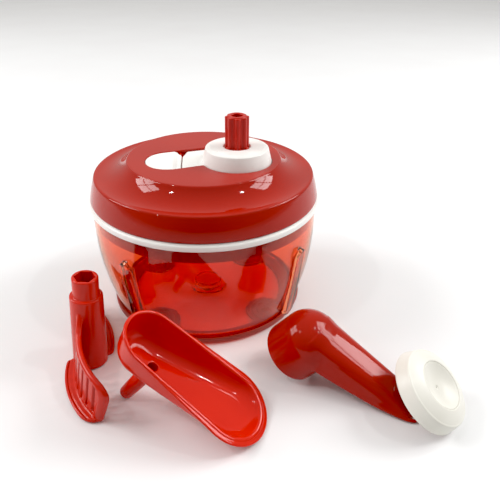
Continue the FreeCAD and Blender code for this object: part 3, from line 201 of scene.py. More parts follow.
lid_red = red_plastic("red_lid", DEEP_RED, DEEP_RED_LIT, 0.03, 0.06)
RED = lid_red.satin_above(PLATEAU_SATIN, Roughness=0.42, Specular_IOR_Level=0.6).material
PLATE_RED = red_plastic("red_plate", (0.50, 0.013, 0.004), (0.56, 0.016, 0.005),
                        0.2, 0.3).material
CRANK_RED = red_plastic("red_crank", DEEP_RED, DEEP_RED_LIT, 0.05, 0.10, 0.26).material
LOOSE_RED = red_plastic("red_loose", (0.60, 0.017, 0.005), (0.66, 0.021, 0.006),
                        0.04, 0.08).material
SHAFT_RED = red_plastic("red_shaft", (0.46, 0.013, 0.005), (0.52, 0.017, 0.007),
                        0.26, 0.38).material
WHISK_RED = red_plastic("red_whisk", (0.56, 0.019, 0.007), (0.62, 0.023, 0.008),
                        0.14, 0.22).material

clear = Shader("clear_red", IOR=1.46, Transmission_Weight=1.0)
clear.colours((0.93, 0.29, 0.14), (0.95, 0.32, 0.16), 12.0).roughness(0.0, 0.02, 180.0)
clear.bumps((30.0, 0.00004, (1.0, 1.0, 0.35)))
CLEAR = clear.lets_lamps_through((0.82, 0.52, 0.44)).material

soft = Shader("soft_red", IOR=1.42, Transmission_Weight=0.45, Specular_IOR_Level=0.3)
soft.colours((0.42, 0.08, 0.06), (0.48, 0.10, 0.08), 40.0).roughness(0.32, 0.42)
soft.bumps((900.0, 0.000002, None))
SOFT = soft.lets_lamps_through((0.80, 0.45, 0.40)).material

white = Shader("white", IOR=1.46, Specular_IOR_Level=0.45, Coat_Weight=0.15, Coat_Roughness=0.12)
white.colours((0.89, 0.875, 0.845), (0.92, 0.91, 0.88), 35.0).roughness(0.26, 0.40)
WHITE = white.bumps((1100.0, 0.0000015, None), (60.0, 0.00003, None)).material

knob_white = Shader("knob_white", IOR=1.46, Specular_IOR_Level=0.4)
knob_white.colours((0.80, 0.785, 0.71), (0.83, 0.815, 0.75), 40.0).roughness(0.28, 0.38)
KNOB_WHITE = knob_white.bumps((1000.0, 0.0000012, None), (70.0, 0.00003, None)).material

acetal = Shader("acetal", IOR=1.48, Specular_IOR_Level=0.4)
acetal.colours((0.74, 0.72, 0.66), (0.80, 0.785, 0.73), 60.0).roughness(0.38, 0.55)
ACETAL = acetal.bumps((700.0, 0.00002, None)).material

steel = Shader("steel", Metallic=1.0, Anisotropic=0.5)
steel.colours((0.50, 0.50, 0.50), (0.64, 0.64, 0.63), 300.0, (1.0, 1.0, 12.0))
STEEL = steel.roughness(0.22, 0.40, 500.0, (1.0, 1.0, 20.0)).bumps(
    (900.0, 0.00001, (1.0, 1.0, 20.0))).material

table = Shader("table", IOR=1.45, Specular_IOR_Level=0.3)
table.colours((0.85, 0.855, 0.865), (0.87, 0.88, 0.89), 6.0).roughness(0.42, 0.55, 40.0)
TABLE = table.bumps((400.0, 0.00002, None)).material

NODE_LOOKS = {
    "bowl": CLEAR, "non_slip_ring": SOFT, "lid_ring": WHITE, "lid_cover": RED,
    "inner_cover": PLATE_RED, "hub_cover": WHITE, "filler_flap": WHITE, "flap_pin": SHAFT_RED,
    "shaft_bush": ACETAL, "cover_screws": STEEL, "drive_shaft": SHAFT_RED, "drive_gear": ACETAL,
    "gear_washer": STEEL, "shaft_clip": STEEL, "pinion": ACETAL, "pinion_axle": STEEL,
    "pinion_washer": STEEL, "drive_coupler": SHAFT_RED, "crank_arm": CRANK_RED,
    "knob_axle": STEEL, "knob_washer": STEEL, "knob": KNOB_WHITE, "knob_cap": KNOB_WHITE,
    "whisk": WHISK_RED, "funnel": LOOSE_RED,
}
for name, node in nodes.items():
    node.data.materials.clear()
    node.data.materials.append(NODE_LOOKS[name])


# ---------------------------------------------------------------- distance fields, in mm
def either(a, b, k):
    """Union with a fillet about k wide."""
    h = np.clip(0.5 + 0.5 * (b - a) / k, 0, 1)
    return b + (a - b) * h - k * h * (1 - h)


def both(a, b, k):
    """Overlap with its edge rounded about k wide."""
    return -either(-a, -b, k)


def without(a, b, k=0.8):
    """The first shape with the second cut away."""
    return both(a, -b, k)


def disc(x, y, cx, cy, radius):
    return np.hypot(x - cx, y - cy) - radius


def slab(z, low, high):
    return np.maximum(low - z, z - high)


def round_pattern(x, y, count, turn=0.0):
    """The nearest of count equal sectors: distances along and across its middle line."""
    r = np.hypot(x, y)
    half = math.pi / count
    angle = np.mod(np.arctan2(y, x) - turn + half, 2 * half) - half
    return r * np.cos(angle), r * np.sin(angle)


def teardrop(x, y, first, first_radius, second, second_radius):
    """Two circles and their outer tangents, in plan."""
    along = np.subtract(second, first)
    reach = np.hypot(*along)
    along = along / reach
    dx, dy = x - first[0], y - first[1]
    u = dx * along[0] + dy * along[1]
    v = np.abs(dy * along[0] - dx * along[1])
    lean = (first_radius - second_radius) / reach
    rise = math.sqrt(1 - lean * lean)
    k = -v * lean + u * rise
    near = np.hypot(u, v) - first_radius
    far = np.hypot(u - reach, v) - second_radius
    side = v * rise + u * lean - first_radius
    return np.where(k < 0, near, np.where(k > reach * rise, far, side))


def bulge(start, finish, radius, steps=14):
    """Points of an arc between two corners; a positive radius has its centre on the left."""
    start, finish = np.array(start, float), np.array(finish, float)
    chord = finish - start
    half = np.hypot(*chord) / 2
    normal = np.array([-chord[1], chord[0]]) / (2 * half)
    way = 1 if radius > 0 else -1
    centre = (start + finish) / 2 + normal * way * math.sqrt(max(radius ** 2 - half ** 2, 0))
    a = math.atan2(*(start - centre)[::-1])
    b = math.atan2(*(finish - centre)[::-1])
    turn = (b - a + math.pi) % (2 * math.pi) - math.pi
    angles = a + turn * np.arange(1, steps) / steps
    return [tuple(centre + abs(radius) * np.array([math.cos(t), math.sin(t)])) for t in angles]


def path(corners, arcs):
    """A closed outline: corners, with the sides named in arcs bent to a radius."""
    points = []
    for side, corner in enumerate(corners):
        points.append(corner)
        if side in arcs:
            points += bulge(corner, corners[(side + 1) % len(corners)], arcs[side])
    return points


def flat_field(points, soften=0.4, step=0.2, margin=6.0):
    """Distance to a closed outline as a function of two coordinates.

    The outline's corners are softened by a Gaussian of the given width.
    """
    points = np.array(points, float)
    low = points.min(0) - margin
    counts = np.ceil((points.max(0) + margin - low) / step).astype(int) + 1
    u = low[0] + step * np.arange(counts[0])[:, None]
    v = low[1] + step * np.arange(counts[1])[None, :]
    nearest = np.full(tuple(counts), 1e9)
    inside = np.zeros(tuple(counts), bool)
    for (au, av), (bu, bv) in zip(points, np.roll(points, -1, 0)):
        eu, ev = bu - au, bv - av
        length = eu * eu + ev * ev
        if length < 1e-12:
            continue
        t = np.clip(((u - au) * eu + (v - av) * ev) / length, 0, 1)
        nearest = np.minimum(nearest, (u - au - t * eu) ** 2 + (v - av - t * ev) ** 2)
        if av != bv:
            crosses = (v > av) != (v > bv)
            inside ^= crosses & (u < au + (v - av) * eu / ev)
    field = np.sqrt(nearest) * np.where(inside, -1.0, 1.0)
    reach = int(3 * soften / step)
    if reach:
        kernel = np.exp(-0.5 * (np.arange(-reach, reach + 1) * step / soften) ** 2)
        kernel /= kernel.sum()
        for axis in (0, 1):
            padded = np.pad(field, [(reach, reach) if a == axis else (0, 0) for a in (0, 1)],
                            mode="edge")
            field = sum(weight * np.take(padded, np.arange(counts[axis]) + offset, axis)
                        for offset, weight in enumerate(kernel))

    def read(a, b):
        ia = np.clip((a - low[0]) / step, 0, counts[0] - 1.001)
        ib = np.clip((b - low[1]) / step, 0, counts[1] - 1.001)
        i, j = ia.astype(int), ib.astype(int)
        fa, fb = ia - i, ib - j
        value = ((field[i, j] * (1 - fa) + field[i + 1, j] * fa) * (1 - fb)
                 + (field[i, j + 1] * (1 - fa) + field[i + 1, j + 1] * fa) * fb)
        beyond = np.hypot(a - (low[0] + ia * step), b - (low[1] + ib * step))
        return value + beyond

    return read


def skin(shape, low, high, step):
    """Points and quads of a distance field's zero level, drawn onto the surface itself.

    Blocks of cells far from the surface are skipped: only their sign is kept.
    """
    block = 8
    batch = 500000
    far = 1e3
    low = np.array(low, float) - 2 * step
    blocks = np.ceil((np.array(high) + 2 * step - low) / (step * block)).astype(int)
    coarse = [low[a] + step * block * (np.arange(blocks[a]) + 0.5) for a in range(3)]
    centres = np.array(np.meshgrid(*coarse, indexing="ij"))
    middle = shape(centres.reshape(3, -1)).reshape(tuple(blocks))
    near = np.abs(middle) < block * step * 1.15
    values = np.where(middle < 0, -far, far)
    for axis in range(3):
        near = near.repeat(block, axis)
        values = values.repeat(block, axis)
    cells = np.argwhere(near)
    found = np.empty(len(cells))
    for start in range(0, len(cells), batch):
        part = cells[start:start + batch]
        found[start:start + batch] = shape((low + part * step).T)
    values[tuple(cells.T)] = found

    inside = values < 0
    n = np.array(values.shape)
    corners = [(i, j, k) for i in (0, 1) for j in (0, 1) for k in (0, 1)]
    count = sum(inside[i:n[0] - 1 + i, j:n[1] - 1 + j, k:n[2] - 1 + k].astype(np.int8)
                for i, j, k in corners)
    mixed = np.argwhere((count > 0) & (count < 8))
    number = np.full(tuple(n - 1), -1)
    number[tuple(mixed.T)] = np.arange(len(mixed))
    total = np.zeros((len(mixed), 3))
    hits = np.zeros(len(mixed))
    for a in corners:
        for axis in range(3):
            if a[axis]:
                continue
            b = list(a)
            b[axis] = 1
            da = values[tuple((mixed + a).T)]
            db = values[tuple((mixed + b).T)]
            crossed = (da < 0) != (db < 0)
            share = np.where(crossed, da / np.where(crossed, da - db, 1), 0)
            spot = np.array(a, float) + share[:, None] * np.subtract(b, a)
            total[crossed] += spot[crossed]
            hits += crossed
    points = low + (mixed + total / hits[:, None]) * step

    quads = []
    for axis in range(3):
        v, w = (axis + 1) % 3, (axis + 2) % 3
        ahead = np.roll(inside, -1, axis)
        change = np.argwhere(inside != ahead)
        keep = (change[:, axis] < n[axis] - 1) & (change[:, v] > 0) & (change[:, w] > 0)
        keep &= (change[:, v] < n[v] - 1) & (change[:, w] < n[w] - 1)
        change = change[keep]
        step_v = np.eye(3, dtype=int)[v]
        step_w = np.eye(3, dtype=int)[w]
        ring = np.stack([number[tuple((change - offset).T)]
                         for offset in (0 * step_v, step_v, step_v + step_w, step_w)], 1)
        outward = inside[tuple(change.T)]
        ring[~outward] = ring[~outward][:, ::-1]
        quads.append(ring)
    quads = np.concatenate(quads)

    tiny = step * 0.05
    flattest = 0.25
    for _ in range(4):
        value = shape(points.T)
        slope = np.stack([
            shape((points + tiny * axis).T) - shape((points - tiny * axis).T)
            for axis in np.eye(3)], 1) / (2 * tiny)
        size = np.maximum((slope ** 2).sum(1), flattest)
        move = slope * (value / size)[:, None]
        length = np.linalg.norm(move, axis=1)[:, None]
        points -= move * np.minimum(1, 0.4 * step / np.maximum(length, 1e-9))
    return points, quads


def lay(x, y, z, turn, tip):
    """The place of a loose piece: its origin in mm, its heading and its tip in degrees."""
    return (Matrix.Translation((x, y, z)) @ Matrix.Rotation(math.radians(turn), 4, "Z")
            @ Matrix.Rotation(math.radians(tip), 4, "Y"))


UPRIGHT = Matrix.Identity(4)
CRANK = lay(56.47, -103.45, 13.25, -31.6, 38.75)
WHISK = lay(-85.43, -87.39, 1.4, 0.0, 4.3)
FUNNEL = lay(-24.3, -138.2, 48.9, -22.06, 37.39)


def piece(name, points, faces, place, look, body, stands_for):
    """A smooth mesh object from mm points, riding on its body in place of CAD nodes."""
    points = np.asarray(points, float)
    turn = np.array(place.to_3x3())
    points = (points @ turn.T + np.array(place.translation)) * MM
    faces = np.asarray(faces, np.int32)
    mesh = bpy.data.meshes.new(name)
    mesh.vertices.add(len(points))
    mesh.vertices.foreach_set("co", points.astype(np.float32).ravel())
    mesh.loops.add(faces.size)
    mesh.loops.foreach_set("vertex_index", faces.ravel())
    mesh.polygons.add(len(faces))
    sides = faces.shape[1]
    mesh.polygons.foreach_set("loop_start", np.arange(0, faces.size, sides, dtype=np.int32))
    mesh.polygons.foreach_set("loop_total", np.full(len(faces), sides, np.int32))
    mesh.polygons.foreach_set("use_smooth", np.ones(len(faces), bool))
    mesh.update(calc_edges=True)
    mesh.validate()
    mesh.materials.append(look)
    made = bpy.data.objects.new(name, mesh)
    bpy.context.scene.collection.objects.link(made)
    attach(made, body)
    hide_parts(*stands_for)
    return made


def turned(name, corners, arcs, place, look, body, stands_for, shift=(0, 0, 0),
           segments=192, soften=0.0):
    """A ring turned from a closed section that stays off the axis, in (radius, height)."""
    section = rounded(path(corners, arcs), soften)
    angles = np.arange(segments) * 2 * math.pi / segments
    r, z = section[:, 0], section[:, 1]
    points = np.stack([
        shift[0] + np.outer(np.cos(angles), r),
        shift[1] + np.outer(np.sin(angles), r),
        shift[2] + np.tile(z, (segments, 1))], -1).reshape(-1, 3)
    rows = len(section)
    i = np.arange(segments)[:, None]
    j = np.arange(rows)[None, :]
    ahead, above = (i + 1) % segments, (j + 1) % rows
    quads = np.stack([i * rows + j, ahead * rows + j, ahead * rows + above, i * rows + above],
                     -1).reshape(-1, 4)
    area = (r * np.roll(z, -1) - np.roll(r, -1) * z).sum()
    if area < 0:
        quads = quads[:, ::-1]
    return piece(name, points, quads, place, look, body, stands_for)


def rounded(points, radius, pitch=1.6):
    """The outline with its sharp corners rounded and its long runs divided."""
    points = np.array(points, float)
    made = []
    count = len(points)
    for index in range(count):
        before, here, after = points[index - 1], points[index], points[(index + 1) % count]
        a, b = before - here, after - here
        la, lb = np.hypot(*a), np.hypot(*b)
        if la < 1e-9 or lb < 1e-9:
            continue
        a, b = a / la, b / lb
        corner = math.acos(max(-1, min(1, float(a @ b))))
        if radius and corner < math.radians(160):
            back = min(radius / math.tan(corner / 2), 0.45 * la, 0.45 * lb)
            bend = back * math.tan(corner / 2)
            middle = here + (a + b) / np.hypot(*(a + b)) * bend / math.sin(corner / 2)
            start, finish = here + a * back, here + b * back
            turn = math.atan2(*(start - middle)[::-1])
            sweep = math.atan2(*(finish - middle)[::-1]) - turn
            sweep = (sweep + math.pi) % (2 * math.pi) - math.pi
            for t in np.linspace(0, 1, 6):
                made.append(middle + bend * np.array([math.cos(turn + sweep * t),
                                                      math.sin(turn + sweep * t)]))
        else:
            made.append(here)
    full = []
    for here, after in zip(made, made[1:] + made[:1]):
        steps = max(1, int(math.ceil(np.hypot(*(after - here)) / pitch)))
        full += [here + (after - here) * t / steps for t in range(steps)]
    return np.array(full)


# ---------------------------------------------------------------- bowl
RIB_TURN = math.radians(50.0)
RIB_RADIUS, RIB_LOW, RIB_HIGH, RIB_WALL = 6.5, 13.0, 62.0, 2.3
RIB_REACH, RIB_LEAN, RIB_ROOT = 85.8, 0.1477, 66


def bowl_piece():
    outside = flat_field(path(
        [(-9, 1.6), (72.0, 1.6), (75.6, 8.0), (86.4, 70.0), (86.4, 88.2), (-9, 88.2)],
        {1: 6.5, 2: 185}), 0.35)
    inside = flat_field(path(
        [(-9, 9.2), (11.2, 9.2), (11.2, 4.5), (15.4, 4.5), (15.4, 3.6), (69.6, 3.6), (73.2, 9.5),
         (84.0, 70.0), (84.0, 96.0), (-9, 96.0)], {5: 5.0, 6: 183}), 0.35)

    def shape(p):
        x, y, z = p
        r = np.hypot(x, y)
        solid = outside(r, z)
        ahead, across = round_pattern(x, y, 4, RIB_TURN)
        middle = (RIB_LOW + RIB_HIGH) / 2
        face = (ahead - RIB_REACH - RIB_LEAN * (z - middle)) * 0.989
        side = np.hypot(across, z - np.clip(z, RIB_LOW, RIB_HIGH)) - RIB_RADIUS
        rib = np.maximum(both(face, side, 2.0), RIB_ROOT - ahead)
        solid = either(solid, rib, 0.9)
        hollow = both(face + RIB_WALL, side + RIB_WALL - 0.1, 2.0)
        hollow = np.maximum(hollow, RIB_ROOT - ahead)
        return without(solid, either(inside(r, z), hollow, 1.6), 0.7)

    points, quads = skin(shape, (-91, -91, 1), (91, 91, 89), 0.85)
    return piece("bowl_shell", points, quads, UPRIGHT, CLEAR, "base", ["bowl"])


LOBE_REACH, LOBE_RADIUS, LOBE_GROOVES = 60.0, 16.0, (4.0, 8.0, 12.0)
GROOVE_HALF, GROOVE_FLOOR = 0.8, 0.8


def foot_piece():
    section = flat_field([(62.0, 0), (75.4, 0), (77.5, 3.0), (77.5, 6.2), (75.9, 6.2),
                          (74.6, 2.3), (72.0, 1.5), (62.0, 1.5)], 0.12, 0.1)

    def shape(p):
        x, y, z = p
        ahead, across = round_pattern(x, y, 4, RIB_TURN)
        lobe = np.hypot(ahead - LOBE_REACH, across)
        disc_pad = both(lobe - LOBE_RADIUS, slab(z, 0, 1.5), 0.3)
        solid = either(section(np.hypot(x, y), z), disc_pad, 0.3)
        for groove in LOBE_GROOVES:
            cut = np.abs(lobe - groove) - GROOVE_HALF
            solid = without(solid, np.maximum(cut, GROOVE_FLOOR - z), 0.3)
        return solid

    points, quads = skin(shape, (-78, -78, -0.1), (78, 78, 6.4), 0.5)
    return piece("foot_ring", points, quads, UPRIGHT, SOFT, "base",
                 ["non_slip_ring"])


# ---------------------------------------------------------------- lid
TIP, TIP_RADIUS, ROOT, ROOT_RADIUS = (-26.0, -8.3), 17.8, (2.0, 0.0), 17.2
HUB = (24.3, -9.8)
PLATEAU = 120.1
PAN = 116.1
PAN_UNDER = 113.9
POST_TURN, POST_REACH = math.radians(30), 52.0
SPLINE_REACH = 6.85


def cover_piece():
    section = flat_field(path(
        [(-9, PLATEAU), (57.6, PLATEAU), (81.8, 110.2), (83.0, 109.3), (87.4, 92.4),
         (85.0, 92.4), (80.6, 107.8), (56.1, 117.1), (-9, 117.1)],
        {1: 22.4, 2: -0.95, 3: -120, 5: 120, 6: -24.8}), 0.55)

    def shape(p):
        x, y, z = p
        r = np.hypot(x, y)
        solid = section(r, z)
        key = teardrop(x, y, TIP, TIP_RADIUS, ROOT, ROOT_RADIUS)
        hub = disc(x, y, *HUB, 0)
        under = slab(z, PAN_UNDER, 119.1)
        solid = either(solid, both(key - 2.4, under, 0.8), 0.8)
        solid = either(solid, both(hub - 28.5, under, 0.8), 0.8)
        ahead, across = round_pattern(x, y, 4, POST_TURN)
        post = np.hypot(ahead - POST_REACH, across)
        solid = either(solid, both(post - 4.2, slab(z, 81.8, 117.3), 0.5), 0.6)
        boss = both(r - 5.5, slab(z, 99.0, PAN_UNDER), 0.8)
        solid = either(solid, boss, 0.6)
        solid = without(solid, both(key, PAN - z, 0.6), 0.7)
        solid = without(solid, both(hub - 26.25, PAN - z, 0.6), 0.7)
        ways = np.minimum(hub - 12.66, disc(x, y, -30.5, -10.0, 11.9))
        solid = without(solid, np.maximum(ways, slab(z, 110.0, 118.0)), 0.5)
        solid = without(solid, np.maximum(post - 1.48, slab(z, 80.0, 93.8)), 0.3)
        return without(solid, np.maximum(r - 2.02, slab(z, 98.0, 110.6)), 0.3)

    points, quads = skin(shape, (-88, -88, 81), (88, 88, 121), 0.75)
    return piece("cover_shell", points, quads, UPRIGHT, RED, "lid", ["lid_cover"])


def hub_piece():
    section = flat_field(path(
        [(-9, PAN), (25.9, PAN), (25.9, PLATEAU), (23.3, 129.9), (22.3, 130.45), (21.1, 130.45),
         (20.7, 130.9), (-9, 130.9)], {3: -1.1}), 0.16, 0.1)
    hollow = flat_field([(12.86, PAN - 4), (20.9, PAN - 4), (20.4, 128.1), (12.86, 128.1)], 0.3)
    gap = flat_field([(-60, -45), (-16.7, -45), (-16.7, 3.8), (-14.4, 11.0), (-13.4, 30),
                      (-60, 30)], 0.35)

    def shape(p):
        x, y, z = p
        arm = teardrop(x, y, TIP, TIP_RADIUS - 0.35, ROOT, ROOT_RADIUS - 0.35)
        arm = both(arm, slab(z, PAN, 118.6), 0.9)
        hub = disc(x, y, *HUB, 0)
        solid = either(arm, section(hub, z), 2.6)
        solid = without(solid, gap(x, y), 2.4)
        solid = without(solid, hollow(hub, z), 0.6)
        solid = without(solid, np.maximum(hub - 10.86, slab(z, PAN - 5, 129.5)), 0.3)
        return without(solid, hub - 9.9, 0.7)

    points, quads = skin(shape, (-18, -37, 115), (51, 18, 132), 0.5)
    return piece("hub_shell", points, quads, UPRIGHT, WHITE, "lid", ["hub_cover"])


HINGE, HINGE_ROOM = (-18.25, 117.475), 1.45


def flap_piece():
    gap = flat_field([(-17.1, -45), (40, -45), (40, 30), (-21.4, 30), (-20.4, 11.0),
                      (-17.1, 3.8)], 0.35)
    trim = flat_field([(-24.4, -45), (-16.0, -45), (-16.0, -23.75), (-21.4, -23.75),
                       (-24.4, -26.15)], 0.35)

    def shape(p):
        x, y, z = p
        leaf = teardrop(x, y, TIP, TIP_RADIUS - 0.35, ROOT, ROOT_RADIUS - 0.35)
        solid = both(leaf, slab(z, 116.35, 119.85), 0.7)
        solid = without(solid, gap(x, y), 0.6)
        knuckle = np.hypot(x - HINGE[0], z - HINGE[1]) - HINGE_ROOM
        crown = (z - 118.5 - 0.5 * np.maximum(-20.15 - x, 0)) * 0.89
        solid = np.maximum(solid, np.where(x > HINGE[0], knuckle, crown))
        return without(solid, trim(x, y), 0.5)

    points, quads = skin(shape, (-45, -28, 115.8), (-16, 11, 120.2), 0.4)
    return piece("flap_leaf", points, quads, UPRIGHT, WHITE, "flap", ["filler_flap"])


def shaft_piece():
    section = flat_field(
        [(-9, 77.2), (3.6, 77.2), (4.0, 77.6), (4.0, 85.9), (6.0, 85.9), (6.0, 97.7),
         (11.4, 97.7), (11.4, 114.3), (9.0, 114.3), (9.0, 129.6), (7.3, 130.6), (7.3, 153.0),
         (6.7, 153.8), (-9, 153.8)], 0.16, 0.1)

    def shape(p):
        x, y, z = p
        x, y = x - HUB[0], y - HUB[1]
        r = np.hypot(x, y)
        ahead, across = round_pattern(x, y, 8)
        lobe = np.hypot(ahead - SPLINE_REACH, across) - 1.95
        solid = either(section(r, z), both(lobe, slab(z, 129.7, 153.0), 0.6), 0.35)
        solid = without(solid, np.maximum(5.0 - x, slab(z, 85.9, 97.65)), 0.3)
        solid = without(solid, np.maximum(3.2 - r, slab(z, 78.4, 79.1)), 0.2)
        return without(solid, np.maximum(r - 4.1, 133.8 - z), 1.0)

    points, quads = skin(shape, (12, -22, 76.5), (37, 3, 154.5), 0.38)
    return piece("shaft_stub", points, quads, UPRIGHT, SHAFT_RED, "drive", ["drive_shaft"])


def ring_piece():
    corners = [(86.9, 86.4), (87.1, 86.4), (88.3, 88.0), (88.3, 90.1), (86.7, 91.6),
               (86.8, 92.1), (81.4, 92.1), (81.4, 88.4), (86.9, 88.4)]
    return turned("rim_ring", corners, {1: 1.8, 3: 2.4}, UPRIGHT, WHITE, "lid",
                  ["lid_ring"], soften=0.25, segments=320)


# ---------------------------------------------------------------- crank and knob
def eased(places, values, half_width=10.0):
    """A curve through the values with its corners eased."""
    step = 0.5
    fine = np.arange(places[0] - 20, places[-1] + 20, step)
    reach = int(half_width / step)
    window = np.hanning(2 * reach + 1)
    curve = np.interp(fine, places, values)
    curve = np.convolve(np.pad(curve, reach, mode="edge"), window / window.sum(), "valid")
    return lambda run: np.interp(run, fine, curve)


ARM_END = 69.7


def crank_piece():
    hub_section = flat_field(path(
        [(-9, 0), (20.6, 0), (21.17, 0.6), (21.17, 21.0), (4.0, 38.6), (-9, 38.6)],
        {1: 0.6, 3: 18.5}), 0.5)
    # Along the arm: half width low down, half width at the top, underside, top and corner.
    places = (-10.0, 0.0, 14.0, 30.0, 56.0, 73.0, 83.0, 90.0)
    profiles = [eased(places, values) for values in (
        (21.2, 21.1, 20.0, 18.2, 16.4, 16.0, 15.6, 15.4),
        (21.0, 20.4, 18.4, 15.8, 13.0, 11.8, 11.6, 11.5),
        (8.3, 12.0, 17.2, 23.2, 33.6, 43.0, 50.6, 55.6),
        (37.4, 38.2, 40.0, 42.4, 46.6, 49.6, 51.6, 52.8),
        (17.0, 16.5, 13.0, 9.0, 5.5, 3.0, 1.5, 1.2))]
    nose = 10.5
    under = flat_field([(26, -10.9), (54, -9.4), (58, -5), (58, 5), (54, 9.4), (26, 10.9)], 0.5)

    def shape(p):
        x, y, z = p
        half, top_half, low, high, corner = [profile(x) for profile in profiles]
        corner = np.maximum(corner, 1.2)
        rise = np.clip((z - low) / np.maximum(high - corner - low, 0.5), -0.5, 1.5)
        wide = half + (top_half - half) * rise
        side = (np.abs(y) - wide) * 0.985
        arm = both(side, (z - high) * 0.985, np.maximum(1.15 * corner, 1.4))
        arm = both(arm, (low - z) * 0.9, 2.4)
        u = np.abs(y) - (16.9 - nose)
        v = x - (82.3 - nose)
        plan = (np.hypot(np.maximum(u, 0), np.maximum(v, 0)) - nose
                + np.minimum(np.maximum(u, v), 0))
        arm = both(arm, plan, 2.4)
        arm = np.maximum(arm, -2.0 - x)
        reach = np.hypot(x - ARM_END, y)
        arm = without(arm, both(reach - 13.2, 46.4 - z, 1.0), 1.0)
        hub = hub_section(np.hypot(x, y), z)
        solid = either(hub, arm, 1.6)
        solid = either(solid, both(reach - 8.0, slab(z, 47.5, 59.8), 0.6), 1.6)
        r = np.hypot(x, y)
        ring = np.maximum(r - 18.77, 12.2 - r)
        solid = without(solid, np.maximum(ring, z - 18.0), 0.8)
        ahead, across = round_pattern(x, y, 8)
        lobe = np.hypot(ahead - SPLINE_REACH, across) - 2.05
        socket = np.maximum(np.minimum(r - 8.3, lobe), z - 23.9)
        solid = without(solid, socket, 0.4)
        roof = (z - 35.2 - 0.1655 * x) * 0.986
        solid = without(solid, both(under(x, y), roof, 1.2), 0.8)
        return without(solid, np.maximum(reach - 3.02, 46.0 - z), 0.4)

    points, quads = skin(shape, (-22, -22, -0.5), (84, 22, 61), 0.6)
    return piece("crank_body", points, quads, CRANK, CRANK_RED, "crank", ["crank_arm"])


def knob_pieces():
    seat = (ARM_END, 0.0, 60.8)
    shell = [(3.06, 0), (8.0, 0), (8.0, 3.2), (17.65, 3.2), (17.85, 9.6), (22.95, 7.2),
             (25.05, 0), (26.55, 0), (27.25, 0.7), (25.4, 8.4), (24.1, 9.5), (16.45, 12.9),
             (15.55, 12.5), (15.55, 5.4), (3.06, 5.4)]
    turned("knob_shell", shell, {7: 0.7, 9: 1.3, 10: 30, 11: 0.9}, CRANK, KNOB_WHITE, "knob",
           ["knob"], seat, 240, 0.8)
    cap = [(0.35, 7.4), (14.15, 10.5), (14.15, 5.42), (15.52, 5.42), (15.52, 12.2),
           (14.85, 12.5), (1.6, 8.85), (1.0, 8.45), (0.35, 8.4)]
    turned("knob_dish", cap, {0: 26, 4: 0.5, 5: -26}, CRANK, KNOB_WHITE, "knob",
           ["knob_cap"], seat, 200, 0.15)


# ---------------------------------------------------------------- whisk
def whisk_piece():
    tube = flat_field(path(
        [(-9, 0), (12.0, 0), (11.0, 55.0), (10.0, 56.0), (8.66, 56.2), (8.66, 69.5),
         (8.06, 70.1), (-9, 70.1)], {2: 1.05}), 0.3)
    bore = flat_field([(-9, -6), (9.6, -6), (9.6, 30), (8.6, 53), (6.0, 57), (6.0, 76),
                       (-9, 76)], 0.3)
    rim_line = [(-6, 50), (-8.4, 48.9), (-11, 47), (-12.8, 43.6), (-15, 40), (-19, 36.9),
                (-24, 35.3), (-30, 34.2), (-44, 32.2), (-52, 31.2), (-56.6, 29.9),
                (-59.6, 27.4), (-61.4, 24.0), (-61.7, 20.0)]
    side = flat_field(rim_line + [(-59.3, 1.0), (-58.3, 0.1), (8, 0.1), (8, 52)], 0.5)
    # Each slot: its place across the wing, its low end and its high end.
    slots = ((-21.5, 4.5, 31), (-28.4, 4.5, 29.5), (-35.4, 4.5, 29), (-42.3, 4.5, 28),
             (-48.8, 5, 27.5), (-54.8, 6, 26.5))

    def wing(x, y, z):
        run = x - 0.11 * z
        arc = np.hypot(run - 64.46, y + 6.14) - 72.4
        face = side(y, z)
        panel = both(np.abs(arc) - 1.2, face, 0.9)
        bead = np.hypot(np.maximum(np.abs(arc) - 0.7, 0), face + 1.7) - 1.35
        bead = np.maximum(bead, y + 5.0)
        bead = np.maximum(bead, 2.6 - z)
        for across, low, high in slots:
            hole = np.hypot(y - across, z - np.clip(z, low, high)) - 0.95
            panel = without(panel, np.maximum(hole, np.abs(arc) - 4), 0.5)
        panel = either(panel, bead, 0.7)
        foot = np.hypot(x - 64.2, y + 5.7)
        ends = np.maximum(y + 3.0, -60.0 - y)
        ledge = both(both(np.abs(foot - 75.6) - 3.9, ends, 5.0), slab(z, 0, 2.6), 0.9)
        groove = np.maximum(np.abs(foot - 77.4) - 0.35, 2.0 - z)
        ledge = without(ledge, groove, 0.5)
        return either(panel, ledge, 0.8)

    def shape(p):
        x, y, z = p
        r = np.hypot(x, y)
        wings = np.minimum(np.maximum(wing(x, y, z), y + 2.0),
                           np.maximum(wing(-x, -y, z), 2.0 - y))
        wings = np.maximum(wings, 10.2 - r)
        solid = either(tube(r, z), wings, 0.9)
        ahead, across = round_pattern(x, y, 6)
        lobe = np.hypot(ahead - 5.3, across) - 1.7
        solid = without(solid, bore(r, z), 0.5)
        return without(solid, np.maximum(lobe, 58 - z), 0.5)

    points, quads = skin(shape, (-22, -63, -0.2), (22, 63, 70.5), 0.5)
    return piece("whisk_body", points, quads, WHISK, WHISK_RED, "whisk", ["whisk"])


